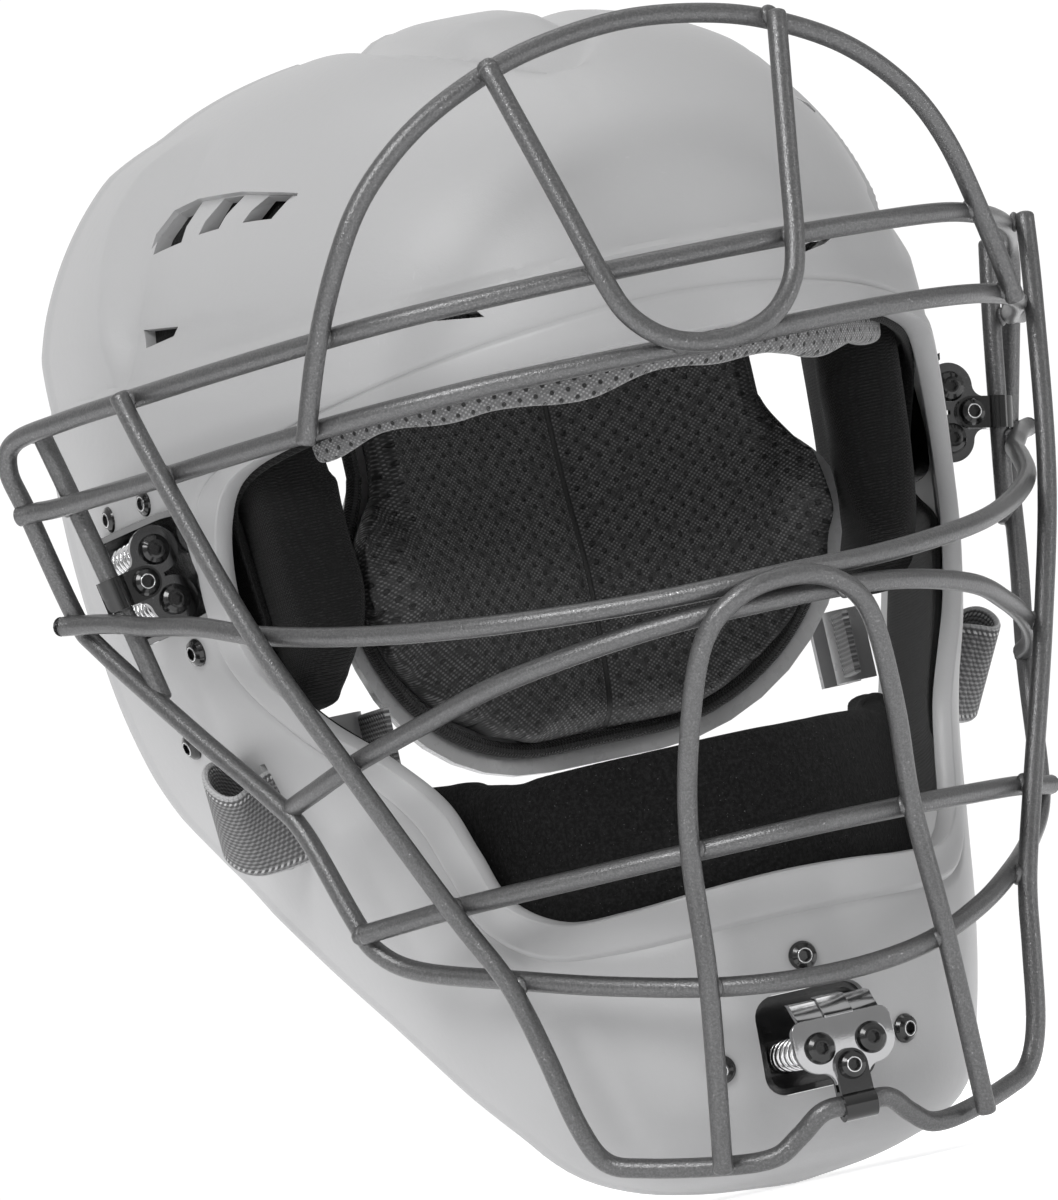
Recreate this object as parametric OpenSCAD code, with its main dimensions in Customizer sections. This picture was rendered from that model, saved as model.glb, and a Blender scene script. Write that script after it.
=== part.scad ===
// Catcher's mask: a hockey-style helmet shell, a wire cage on three sprung mounts and an
// elastic-hung back plate. Millimetres. +Z is up, -Y is the way the wearer faces, +X is the
// wearer's left. The origin is the centre of the wearer's head. Most places are laid out from
// the middle of the upper brow bar, which brow_bar puts in that frame.

/* [Cage] */
// Diameter of the cage wire
wire_d = 4.8; // [4.4:0.1:5.2]
// Sides of the round wire in this model
wire_sides = 10; // [8:2:16]

/* [Shell] */
// Half of the shell's widest width
shell_half_w = 107; // [105:1:109]
// Length from the brow to the widest section
shell_front_l = 160; // [156:1:162]
// Height of the crown above the widest section
crown_h = 102; // [99:1:104]
// Thickness of the moulded shell
shell_t = 4; // [3.5:0.5:4.5]

/* [Sprung mounts] */
// Distance between the two guide bolts of a mount
bolt_gap = 13; // [12.5:0.5:14]
// Radius of a guide bolt's shank
bolt_r = 2; // [1.8:0.1:2.2]
// Radial clearance of a guide bolt in its yoke plate
bolt_clear = 0.06; // [0.03:0.01:0.1]
// Radius of a button head
head_r = 3.8; // [3.6:0.1:4]
// Thickness of a yoke plate
yoke_t = 2; // [1.5:0.25:2.5]
// Length of a fitted spring
spring_l = 25; // [22:1:27]

/* [Back plate] */
// Half of the back pad's width
back_half_w = 62; // [58:1:63]
// How much narrower the back pad is at its top
back_neck = 9; // [6:0.5:11]

/* [Hidden] */
$fn = 48;

// Middle of the upper brow bar, from the centre of the wearer's head
brow_bar = [0, -125, 40];

// ---------- curves and tubes ----------

function mirror_x(p) = [-p[0], p[1], p[2]];
// A whole symmetric route from its half, which starts on the middle plane
function both_sides(half) = concat([for (i = [len(half) - 1 : -1 : 1]) mirror_x(half[i])], half);
function unit(v) = v / norm(v);

// Smooth curve through points: each span is a cubic whose tangents come from its neighbours
function span_point(a, b, c, d, t) =
    b + (c - a) * t / 2 + (a - 2.5 * b + 2 * c - d / 2) * t * t
    + (-a / 2 + 1.5 * b - 1.5 * c + d / 2) * t * t * t;
function curve_open(p, steps) = let (n = len(p)) concat(
    [for (i = [0 : n - 2], k = [0 : steps - 1])
        span_point(p[max(i - 1, 0)], p[i], p[i + 1], p[min(i + 2, n - 1)], k / steps)],
    [p[n - 1]]);
function curve_closed(p, steps) = let (n = len(p))
    [for (i = [0 : n - 1], k = [0 : steps - 1])
        span_point(p[(i + n - 1) % n], p[i], p[(i + 1) % n], p[(i + 2) % n], k / steps)];

// Rings stand square to the route, and are turned by the direction away from the face's centre
face_centre = [0, 150, -70];
function ring(p, along, r, sides) =
    let (side = unit(cross(along, p - face_centre)), out = cross(side, along))
    [for (k = [0 : sides - 1]) let (a = 360 * k / sides) p + r * (cos(a) * side + sin(a) * out)];
function tube_sides(rings, sides, closed) =
    [for (i = [0 : rings - (closed ? 1 : 2)], k = [0 : sides - 1])
        let (j = (i + 1) % rings, m = (k + 1) % sides)
        [i * sides + k, i * sides + m, j * sides + m, j * sides + k]];

module tube(route, d, sides = wire_sides, closed = false) {
    n = len(route);
    points = [for (i = [0 : n - 1])
        let (before = closed ? route[(i + n - 1) % n] : route[max(i - 1, 0)],
            after = closed ? route[(i + 1) % n] : route[min(i + 1, n - 1)])
        each ring(route[i], unit(after - before), d / 2, sides)];
    caps = closed ? [] : [[for (k = [sides - 1 : -1 : 0]) k],
        [for (k = [0 : sides - 1]) (n - 1) * sides + k]];
    polyhedron(points, concat(tube_sides(n, sides, closed), caps), convexity = 10);
}

// ---------- cage routes, from the middle of the upper brow bar ----------

// The upper brow bar, side posts, diagonals and chin bar are one closed wire
perimeter_half = [[0, 1, 0], [24, 3, 0], [50, 11, 0], [68, 21, 0], [82, 37, 0], [98, 63, 0],
    [113, 94, 0], [124, 121, 0], [131, 141, -1], [132.5, 147, -7], [130, 147.5, -18],
    [123.5, 149, -45], [120, 146, -54], [108, 123, -80], [98, 105, -100], [94, 98, -110],
    [89, 91, -132], [86, 88, -141], [79, 80, -148], [64, 58, -155], [46, 37, -162],
    [24, 19, -168], [0, 13, -170]];
lower_brow_half = [[0, -0.5, -21], [24, 2, -20.5], [50, 11, -20], [70, 23, -20], [86.5, 42, -20],
    [100, 66, -20], [109, 88, -20], [118, 115, -19.5], [125.5, 136, -19], [129, 143, -18.5],
    [133, 147, -18.5]];
upper_eye_half = [[0, -6, -77.5], [30, 4, -77], [60, 24, -74], [82, 52, -69], [98.5, 80, -62.5],
    [107, 103, -56], [113.3, 122.3, -52.5], [117.7, 130.8, -50], [121.5, 138.5, -48.3],
    [125, 145, -47.2], [128.2, 148.2, -46.5]];
lower_eye_half = [[0, -6, -83], [30, 4, -83.5], [58, 27, -87], [74, 48, -92], [86.5, 70, -97],
    [93, 87, -101], [95, 100.5, -103]];
chin_half = [[0, 9, -135.5], [28, 21, -135.5], [52, 41, -135.5], [71.5, 63, -135.5],
    [81, 77, -136], [89.5, 86, -136.5]];
front_loop_half = [[0, 21, -201], [8, 22, -201], [14, 26, -205.5], [20, 29, -209],
    [30, 34, -208.5], [46, 45, -205], [54, 50, -201.5], [58.5, 50.5, -192], [62, 51.5, -175],
    [64.5, 53, -163], [67.5, 54.5, -153], [75, 59.5, -135], [89.5, 67, -98], [102.5, 76, -62],
    [113, 86, -20], [117.5, 91, 1.5]];
halo_half = [[0, 12, 58], [20, 12.5, 56], [36.5, 14, 51.5], [54, 17, 43], [68, 21.5, 31],
    [77, 26, 17], [84.5, 33.5, -2], [90.5, 39.5, -23]];
forehead_half = [[0, -5.3, -21.5], [12, -5, -19], [20, -3.5, -12], [24, -2, -2],
    [28.5, 2, 18], [36.4, 9.6, 53]];
chin_arch_half = [[0, -10.6, -78.5], [12, -9.2, -81], [21, -4, -90], [26, 7, -112],
    [28, 16.5, -135], [30, 19, -167], [33.5, 28.5, -210]];
mount_rod = [[125, 139, 0.5], [120.8, 137.5, -19], [114.3, 134.5, -52], [111, 133, -70]];

// A short cut end stays square: the last step of a free wire is straight
module cage_wire(half, steps = 3) {
    color("dimgray") translate(brow_bar) tube(curve_open(both_sides(half), steps), wire_d);
}

module perimeter_wire() {
    half = perimeter_half;
    whole = concat(half, [for (i = [len(half) - 2 : -1 : 1]) mirror_x(half[i])]);
    color("dimgray") translate(brow_bar) tube(curve_closed(whole, 3), wire_d, closed = true);
}

module lower_brow_wire() { cage_wire(lower_brow_half); }
module upper_eye_wire() { cage_wire(upper_eye_half); }
module lower_eye_wire() { cage_wire(lower_eye_half); }
module chin_wire() { cage_wire(chin_half); }
module front_loop_wire() { cage_wire(front_loop_half); }
module halo_wire() { cage_wire(halo_half, 4); }
module forehead_wire() { cage_wire(forehead_half, 4); }
module chin_arch_wire() { cage_wire(chin_arch_half, 4); }

module mount_rod_right() {
    color("dimgray") translate(brow_bar) tube(curve_open(mount_rod, 3), wire_d);
}

module mount_rod_left() { mirror([1, 0, 0]) mount_rod_right(); }

// ---------- shell shape ----------

widest_z = -20;
widest_y = 190;
crown_power = 2.65;
// Sections below the widest one: height, half width, front and middle of the section
sections = [[-20, 107, 30, 190], [-60, 105, 32, 190], [-90, 98, 34, 184], [-115, 87, 35, 166],
    [-140, 79, 36, 148], [-163, 70, 36, 125], [-186, 60, 38, 106], [-202, 50, 43, 90],
    [-210, 37, 51, 83], [-214, 21, 63, 79], [-216, 2, 76, 78]];
lowest_z = sections[len(sections) - 1][0];

function section_index(z, i = 0) =
    i >= len(sections) - 2 || z > sections[i + 1][0] ? i : section_index(z, i + 1);
function section_slope(i, c) =
    i <= 0 ? 0 : i >= len(sections) - 1
    ? (sections[i][c] - sections[i - 1][c]) / (sections[i][0] - sections[i - 1][0])
    : (sections[i + 1][c] - sections[i - 1][c]) / (sections[i + 1][0] - sections[i - 1][0]);
function section_value(z, c) =
    let (i = section_index(z), a = sections[i], b = sections[i + 1], h = b[0] - a[0],
        t = (z - a[0]) / h, t2 = t * t, t3 = t2 * t)
    (2 * t3 - 3 * t2 + 1) * a[c] + (t3 - 2 * t2 + t) * h * section_slope(i, c)
    + (3 * t2 - 2 * t3) * b[c] + (t3 - t2) * h * section_slope(i + 1, c);

// Half width, front reach and middle of the section at a height
function section_at(z) =
    z >= widest_z
    ? let (s = pow(max(1 - pow((z - widest_z) / crown_h, crown_power), 0.0001), 1 / crown_power))
        [shell_half_w * s, shell_front_l * s, widest_y]
    : let (y = section_value(z, 3))
        [section_value(z, 1) * shell_half_w / sections[0][1], y - section_value(z, 2), y];
// Behind its middle a section runs nearly straight back
rear_reach = 300;
function inside(p) =
    p[2] > widest_z + crown_h || p[2] < lowest_z ? false
    : let (s = section_at(p[2]), dy = p[1] - s[2])
        pow(p[0] / s[0], 2) + pow(dy / (dy < 0 ? s[1] : rear_reach), 2) < 1;

// The outside is met by walking out from a centre in the head
shell_centre = [0, 130, -60];
function direction(turn, tilt) = [sin(tilt) * sin(turn), -cos(tilt), sin(tilt) * cos(turn)];
function reach(d, low = 20, high = 300, n = 18) =
    n == 0 ? (low + high) / 2
    : let (m = (low + high) / 2)
        inside(shell_centre + m * d) ? reach(d, m, high, n - 1) : reach(d, low, m, n - 1);
function skin(turn, tilt) = let (d = direction(turn, tilt)) shell_centre + reach(d) * d;
function around(p) = norm([p[0] - shell_centre[0], p[2] - shell_centre[2]]);

// Outline of the face opening, as seen from the front
port_half = [[0, -15], [10, -15], [20, -15], [30, -15], [40, -15], [52, -15.4],
    [64, -16.4], [76, -18], [89, -22], [93.5, -32], [94.5, -50],
    [92, -67], [84, -84], [74, -98], [66, -111], [62, -124], [58, -137], [49, -145],
    [36, -146], [18, -145], [0, -144.5]];
port_steps = 2;
function port_outline() = let (p = port_half, n = len(p),
        loop = concat(p, [for (i = [n - 2 : -1 : 1]) [-p[i][0], p[i][1]]]))
    curve_closed(loop, port_steps);
function port_tilt(turn, r, low = 5, high = 90, n = 16) =
    n == 0 ? (low + high) / 2
    : let (m = (low + high) / 2)
        around(skin(turn, m)) < r ? port_tilt(turn, r, m, high, n - 1)
        : port_tilt(turn, r, low, m, n - 1);

// Rear edge: a plane behind the ears, then the jaw line running forward and down
rim_line = [[-216, 80], [-207, 88], [-193, 97], [-179, 113], [-158, 134], [-137, 158],
    [-125, 173], [-110, 186], [-97, 193], [-85, 196], [0, 196], [30, 191], [55, 182], [82, 172]];
function rim_y(p) = lookup(p[2], rim_line);
function rim_tilt(turn, low = 60, high = 165, n = 16) =
    n == 0 ? (low + high) / 2
    : let (m = (low + high) / 2, p = skin(turn, m))
        p[1] < rim_y(p) ? rim_tilt(turn, m, high, n - 1) : rim_tilt(turn, low, m, n - 1);

shell_rows = 14;
// Spokes run from the face opening to the rear edge
function shell_spoke(corner) =
    let (dx = corner[0], dz = corner[1] - shell_centre[2], turn = atan2(dx, dz),
        start = port_tilt(turn, norm([dx, dz])), end = rim_tilt(turn))
    [for (i = [0 : shell_rows]) skin(turn, start + (end - start) * i / shell_rows)];
function inward(p) = let (v = p - shell_centre) shell_centre + v * (1 - shell_t / norm(v));

module shell_body() {
    spokes = [for (corner = port_outline()) shell_spoke(corner)];
    n = len(spokes);
    rows = shell_rows + 1;
    loop = 2 * rows;
    points = [for (s = spokes) each concat(s, [for (i = [rows - 1 : -1 : 0]) inward(s[i])])];
    faces = [for (j = [0 : n - 1], i = [0 : loop - 1])
        let (a = j * loop, b = ((j + 1) % n) * loop, k = (i + 1) % loop)
        each [[a + i, b + k, b + i], [a + i, a + k, b + k]]];
    polyhedron(points, faces, convexity = 10);
}

// Frame on the shell's outside, at a direction from its centre: local +Z points outwards
module on_skin(turn, tilt) {
    p = skin(turn, tilt);
    across = skin(turn + 1, tilt) - skin(turn - 1, tilt);
    rearward = skin(turn, tilt + 1) - skin(turn, tilt - 1);
    out = unit(cross(across, rearward));
    translate(p) rotate([0, acos(out[2]), atan2(out[1], out[0])]) children();
}

// ---------- sprung mounts ----------

// A mount is laid out from the middle between its guide bolts, on the front of its yoke plate:
// the bolts stand at both sides along local Z and the clamped wire lies towards local +X
side_mount = [103.5, 134.5, -40];
side_tilt = 10.6;
chin_mount = [0, 20, -186.5];
module at_right_mount() {
    translate(brow_bar + side_mount) rotate([0, side_tilt, 0]) children();
}
module at_left_mount() { mirror([1, 0, 0]) at_right_mount() children(); }
module at_chin_mount() { translate(brow_bar + chin_mount) rotate([0, 90, 0]) children(); }
// Pockets, in the mount's frame: low and high local X, half length along local Z, front
side_pocket = [-6.4, 14, 12.8, -8];
chin_pocket = [-13, 7.5, 12.5, 21];
pocket_corner = 3.5;
pocket_floor = yoke_t + spring_l;
liner_wall = 1.5;
liner_back = 6;
liner_gap = 0.1;

// Prism along local Y with round corners, from a front to a back
module pocket(size, front, back, grow) {
    low = size[0] - grow;
    high = size[1] + grow;
    half = size[2] + grow;
    r = pocket_corner + grow;
    translate([0, back, 0]) rotate([90, 0, 0]) linear_extrude(back - front) union() {
        translate([low + r, -half]) square([high - low - 2 * r, 2 * half]);
        translate([low, r - half]) square([high - low, 2 * (half - r)]);
        for (x = [low + r, high - r], z = [r - half, half - r]) translate([x, z]) circle(r);
    }
}

// The hole through the shell starts in front of it and leaves room round the base
module shell_pocket(size) {
    pocket(size, min(size[3], 8), pocket_floor + liner_back + liner_gap, liner_wall + liner_gap);
}

module base_bores() {
    for (z = [-bolt_gap / 2, bolt_gap / 2])
        translate([0, pocket_floor - 1, z]) rotate([-90, 0, 0]) cylinder(r = bolt_r, h = liner_back + 2);
}

// The side base is open outwards, and its walls end flush with the shell's slope
base_slope = 11.5;
base_reach = 5;
module side_base() {
    back = pocket_floor + liner_back;
    difference() {
        union() {
            intersection() {
                pocket(side_pocket, side_pocket[3], back, liner_wall);
                translate([-4.9, side_pocket[3], 0]) rotate([0, 0, -base_slope])
                    translate([-30, -10, -20]) cube([30, 60, 40]);
            }
            translate([side_pocket[0] + 1, pocket_floor, -side_pocket[2]])
                cube([base_reach - side_pocket[0] - 1, liner_back, 2 * side_pocket[2]]);
        }
        pocket([side_pocket[0], 30, side_pocket[2]], side_pocket[3] - 1, pocket_floor, 0);
        base_bores();
    }
}

module chin_base() {
    difference() {
        pocket(chin_pocket, chin_pocket[3], pocket_floor + liner_back, liner_wall);
        pocket(chin_pocket, chin_pocket[3] - 1, pocket_floor, 0);
        base_bores();
    }
}

// Button head standing forward (local -Y) of a seat, with a hexagonal socket
socket_r = 1.5;
module button_head(r) {
    rotate([90, 0, 0]) difference() {
        rotate_extrude() polygon([[0, 0], [r, 0], [r, 0.5 * r / 3.8], [0.86 * r, 1.5 * r / 3.8],
            [0.6 * r, 2.1 * r / 3.8], [0.45 * r, 2.2 * r / 3.8], [0, 2.2 * r / 3.8]]);
        translate([0, 0, 0.8 * r / 3.8]) cylinder(r = socket_r, h = 3, $fn = 6);
    }
}

head_gap = 0.05;
bolt_end = pocket_floor + 5;
module guide_bolts() {
    for (z = [-bolt_gap / 2, bolt_gap / 2]) translate([0, -head_gap, z]) {
        button_head(head_r);
        translate([0, -0.5, 0]) rotate([-90, 0, 0]) cylinder(r = bolt_r, h = bolt_end + 0.5 + head_gap);
    }
}

// Outer envelope of the two coil springs
spring_r = 4.2;
spring_bore = 2.9;
module springs() {
    for (z = [-bolt_gap / 2, bolt_gap / 2]) translate([0, yoke_t, z]) rotate([-90, 0, 0])
        difference() {
            cylinder(r = spring_r, h = spring_l);
            translate([0, 0, -1]) cylinder(r = spring_bore, h = spring_l + 2);
        }
}

// Yoke plate: a lobe round each guide bolt and an arm towards the clamped wire
lobe_r = 6;
clamp_x = 5.3;
arm_half = 4.1;
arm_end = 9.2;
arm_fillet = 3;
module yoke_outline() {
    fillet_z = arm_half + arm_fillet;
    fillet_x = sqrt(pow(lobe_r + arm_fillet, 2) - pow(fillet_z - bolt_gap / 2, 2));
    for (z = [-bolt_gap / 2, bolt_gap / 2]) translate([0, z]) circle(lobe_r);
    translate([0, -arm_half]) square([arm_end, 2 * arm_half]);
    difference() {
        translate([0, -fillet_z]) square([fillet_x, 2 * fillet_z]);
        for (z = [-fillet_z, fillet_z]) translate([fillet_x, z]) circle(arm_fillet);
    }
}
module yoke() {
    translate([0, yoke_t, 0]) rotate([90, 0, 0]) linear_extrude(yoke_t) difference() {
        yoke_outline();
        for (z = [-bolt_gap / 2, bolt_gap / 2]) translate([0, z]) circle(bolt_r + bolt_clear);
        translate([clamp_x, 0]) circle(bolt_r);
    }
}

// Clamp: a band round the wire whose two ends hold the arm of the yoke between them
side_wire = [12.95, 0.9];
chin_wire_at = [14.5, 1];
clamp_w = 8;
band_t = 1.2;
tab_r = 4;
// The band grips the wire by this much on the radius
clamp_grip = 0.1;
module clamp_tab(front, wire_x) {
    translate([0, front + band_t, 0]) rotate([90, 0, 0]) linear_extrude(band_t) difference() {
        union() {
            translate([clamp_x, 0]) circle(tab_r);
            translate([clamp_x, -clamp_w / 2]) square([wire_x - clamp_x, clamp_w]);
        }
        translate([clamp_x, 0]) circle(bolt_r);
        translate([wire_x - 1, -clamp_w]) square([4, 2 * clamp_w]);
    }
}
module wire_clamp(wire) {
    band_r = wire_d / 2 + band_t;
    difference() {
        union() {
            clamp_tab(-band_t, wire[0]);
            clamp_tab(yoke_t, wire[0]);
            translate([wire[0], wire[1], -clamp_w / 2]) cylinder(r = band_r, h = clamp_w);
        }
        translate([wire[0], wire[1], -clamp_w]) cylinder(r = wire_d / 2 - clamp_grip, h = 2 * clamp_w);
    }
}

clamp_head_r = 3.4;
module clamp_bolt() {
    translate([clamp_x, -band_t, 0]) {
        button_head(clamp_head_r);
        translate([0, -0.5, 0]) rotate([-90, 0, 0])
            cylinder(r = bolt_r, h = 0.5 + 2 * band_t + yoke_t + nut_h + 0.5);
    }
}
nut_r = 3.7;
nut_h = 2.8;
module clamp_nut() {
    translate([clamp_x, yoke_t + band_t, 0]) rotate([-90, 0, 0]) difference() {
        cylinder(r = nut_r, h = nut_h, $fn = 6);
        translate([0, 0, -1]) cylinder(r = bolt_r, h = nut_h + 2);
    }
}

// ---------- pads and back plate ----------

// Corners of an elliptical band seen from above, open towards the rear
band_steps = 24;
function band(a, b, t, middle, limit) = concat(
    [for (i = [0 : band_steps]) let (w = limit * (2 * i / band_steps - 1))
        [a * sin(w), middle - b * cos(w)]],
    [for (i = [band_steps : -1 : 0]) let (w = limit * (2 * i / band_steps - 1))
        [(a - t) * sin(w), middle - (b - t) * cos(w)]]);

module forehead_pad() {
    color("darkgray") translate(brow_bar + [0, 0, -26]) linear_extrude(31)
        polygon(band(100, 152.5, 11, 190, 50));
}

module crown_pad() {
    color("black") translate(brow_bar + [0, 148, 54]) linear_extrude(10)
        polygon([for (w = [0 : 10 : 350]) [48 * cos(w), 37 * sin(w)]]);
}

module chin_pad() {
    color("black") translate(brow_bar) intersection() {
        translate([0, 0, -150]) linear_extrude(60) polygon(band(66, 96, 11, 143, 86));
        rotate([90, 0, 90]) translate([0, 0, -100]) linear_extrude(200)
            polygon([[40, -150], [160, -150], [160, -101], [112, -102], [72, -106], [40, -108]]);
    }
}

side_pad_lean = 4;
module side_pad_right() {
    color("black") translate(brow_bar) rotate([0, side_pad_lean, 0]) intersection() {
        translate([0, 0, -90]) linear_extrude(90)
            polygon([[69, 108], [83.5, 108], [88, 128], [91, 150], [71, 150]]);
        rotate([90, 0, 90]) linear_extrude(120)
            polygon([[100, -1], [160, -1], [160, -68], [146, -76.5], [128, -76.5], [112, -66],
                [100, -46]]);
    }
}
module side_pad_left() { mirror([1, 0, 0]) side_pad_right(); }

// The back plate curves round a vertical axis behind the face
back_axis = 45;
back_pad_r = [90, 103];
back_shell_r = [103.2, 106.6];
// Outline seen from behind: a narrower top, a flare and large round lower corners
flare = [-24, -50];
module back_outline(half, low, high, corner, neck) {
    top_r = 14;
    top = half - neck;
    right = concat(
        [for (w = [90 : -10 : 0]) [top - top_r + top_r * cos(w), high - top_r + top_r * sin(w)]],
        [for (t = [0 : 0.1 : 1])
            [half - neck * (1 + cos(180 * t)) / 2, flare[0] + (flare[1] - flare[0]) * t]],
        [for (w = [0 : -10 : -90])
            [half - corner + corner * cos(w), low + corner + corner * sin(w)]]);
    polygon(concat(right, [for (i = [len(right) - 1 : -1 : 0]) [-right[i][0], right[i][1]]]));
}
module back_sector(r, half, low, high, corner, neck) {
    translate(brow_bar) intersection() {
        translate([0, back_axis, low]) rotate_extrude($fn = 96)
            translate([r[0], 0]) square([r[1] - r[0], high - low]);
        translate([0, back_axis + r[1] + 1, 0]) rotate([90, 0, 0]) linear_extrude(r[1])
            back_outline(half, low, high, corner, neck);
    }
}
module back_pad() {
    color("black") back_sector(back_pad_r, back_half_w, -101, 35, 48, back_neck);
}
module back_shell() {
    color("gray") back_sector(back_shell_r, back_half_w + 4, -106, 40, 51, back_neck + 5);
}

// Dome rivets hold the elastic straps on the back of the plate
rivet_turn = 22;
module back_rivets() {
    color("silver") translate(brow_bar + [0, back_axis, 0])
        for (side = [-1, 1], z = [-58, 12]) rotate([0, 0, side * rivet_turn])
            translate([0, back_shell_r[1], z]) rotate([-90, 0, 0]) intersection() {
                translate([0, 0, -2]) sphere(r = 5);
                translate([0, 0, -0.5]) cylinder(r = 6, h = 8);
            }
}

// ---------- straps and fasteners ----------

web_w = 25;
web_t = 1.6;
// Loop of webbing that leaves the shell through two slots
loop_y = 137;
loop_x = 96;
loop_r = 8;
loop_root = 79;
loop_low = -115.5;
module loop_outline(grow) {
    translate([loop_x, loop_y]) circle(loop_r + grow);
    translate([loop_root, loop_y - loop_r - grow]) square([loop_x - loop_root, 2 * (loop_r + grow)]);
}
module strap_loop_right() {
    color("darkgray") translate(brow_bar + [0, 0, loop_low]) linear_extrude(web_w) difference() {
        loop_outline(0);
        translate([-1, 0]) loop_outline(-web_t);
    }
}
module strap_loop_left() { mirror([1, 0, 0]) strap_loop_right(); }

slot_gap = 0.4;
module strap_slots() {
    for (y = [loop_y - loop_r, loop_y + loop_r - web_t]) translate(brow_bar
            + [loop_root - 12, y - slot_gap, loop_low - slot_gap])
        cube([30, web_t + 2 * slot_gap, web_w + 2 * slot_gap]);
}

// Flat hook that the inner strap is looped on, bent like an S when seen from above
hook_at = [65, 143.5, -91];
hook_w = 18;
hook_t = 2.2;
hook_r = 4;
module hook_half() {
    translate([0, hook_r - hook_t / 2]) difference() {
        circle(hook_r);
        circle(hook_r - hook_t);
        translate([-hook_r - 1, -hook_r - 1]) square([hook_r + 1, 2 * hook_r + 2]);
    }
    translate([-5, 2 * hook_r - 1.5 * hook_t]) square([5, hook_t]);
}
module strap_hook_right() {
    color("gray") translate(brow_bar + hook_at - [0, 0, hook_w / 2]) linear_extrude(hook_w) {
        hook_half();
        rotate(180) hook_half();
    }
}
module strap_hook_left() { mirror([1, 0, 0]) strap_hook_right(); }

// Elastic strap from behind the hook to the edge of the back plate
inner_w = 16;
module inner_strap_right() {
    color("darkgray") translate(brow_bar + [0, 0, hook_at[2] - inner_w / 2]) linear_extrude(inner_w)
        polygon([[59.4, 122], [60.9, 122], [63, 134], [63, 137], [61.6, 137], [61.4, 134.2]]);
}
module inner_strap_left() { mirror([1, 0, 0]) inner_strap_right(); }

// Button-head screws, as turns and tilts from the shell's centre
side_screws = [[70.4, 106], [69.4, 95.8], [90, 94], [102, 105.8]];
chin_screws = [[180, 48], [169.5, 56], [-169.5, 56]];
screw_head_r = 3.5;
screw_r = 1.8;
module shell_screw() {
    rotate([-90, 0, 0]) button_head(screw_head_r);
    translate([0, 0, -3]) cylinder(r = screw_r, h = 3.5);
}
module shell_screws() {
    color("black") translate(brow_bar) {
        for (s = side_screws) {
            on_skin(s[0], s[1]) shell_screw();
            on_skin(-s[0], s[1]) shell_screw();
        }
        for (s = chin_screws) on_skin(s[0], s[1]) shell_screw();
    }
}

// ---------- nodes of the shell and the mounts ----------

module front_shell() {
    color("silver") difference() {
        translate(brow_bar) shell_body();
        at_right_mount() shell_pocket(side_pocket);
        at_left_mount() shell_pocket(side_pocket);
        at_chin_mount() shell_pocket(chin_pocket);
        strap_slots();
        mirror([1, 0, 0]) strap_slots();
    }
}

module mount_base_right() { color("black") at_right_mount() side_base(); }
module mount_base_left() { color("black") at_left_mount() side_base(); }
module mount_base_chin() { color("black") at_chin_mount() chin_base(); }
module guide_bolts_right() { color("black") at_right_mount() guide_bolts(); }
module guide_bolts_left() { color("black") at_left_mount() guide_bolts(); }
module guide_bolts_chin() { color("black") at_chin_mount() guide_bolts(); }
module springs_right() { color("white") at_right_mount() springs(); }
module springs_left() { color("white") at_left_mount() springs(); }
module springs_chin() { color("white") at_chin_mount() springs(); }
module yoke_right() { color("gray") at_right_mount() yoke(); }
module yoke_left() { color("gray") at_left_mount() yoke(); }
module yoke_chin() { color("gray") at_chin_mount() yoke(); }
module wire_clamp_right() { color("black") at_right_mount() wire_clamp(side_wire); }
module wire_clamp_left() { color("black") at_left_mount() wire_clamp(side_wire); }
module wire_clamp_chin() { color("black") at_chin_mount() wire_clamp(chin_wire_at); }

module clamp_bolts() {
    color("black") {
        at_right_mount() clamp_bolt();
        at_left_mount() clamp_bolt();
        at_chin_mount() clamp_bolt();
    }
}
module clamp_nuts() {
    color("silver") {
        at_right_mount() clamp_nut();
        at_left_mount() clamp_nut();
        at_chin_mount() clamp_nut();
    }
}

front_shell();
forehead_pad();
crown_pad();
side_pad_left();
side_pad_right();
chin_pad();
perimeter_wire();
lower_brow_wire();
upper_eye_wire();
lower_eye_wire();
chin_wire();
front_loop_wire();
halo_wire();
forehead_wire();
chin_arch_wire();
mount_rod_left();
mount_rod_right();
mount_base_left();
mount_base_right();
mount_base_chin();
guide_bolts_left();
guide_bolts_right();
guide_bolts_chin();
springs_left();
springs_right();
springs_chin();
yoke_left();
yoke_right();
yoke_chin();
wire_clamp_left();
wire_clamp_right();
wire_clamp_chin();
clamp_bolts();
clamp_nuts();
shell_screws();
back_shell();
back_pad();
back_rivets();
strap_loop_left();
strap_loop_right();
strap_hook_left();
strap_hook_right();
inner_strap_left();
inner_strap_right();
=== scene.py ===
"""Looks of a catcher's mask with a sprung wire cage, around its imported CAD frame."""

from math import cos, pi, radians, sin, tau

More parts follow.
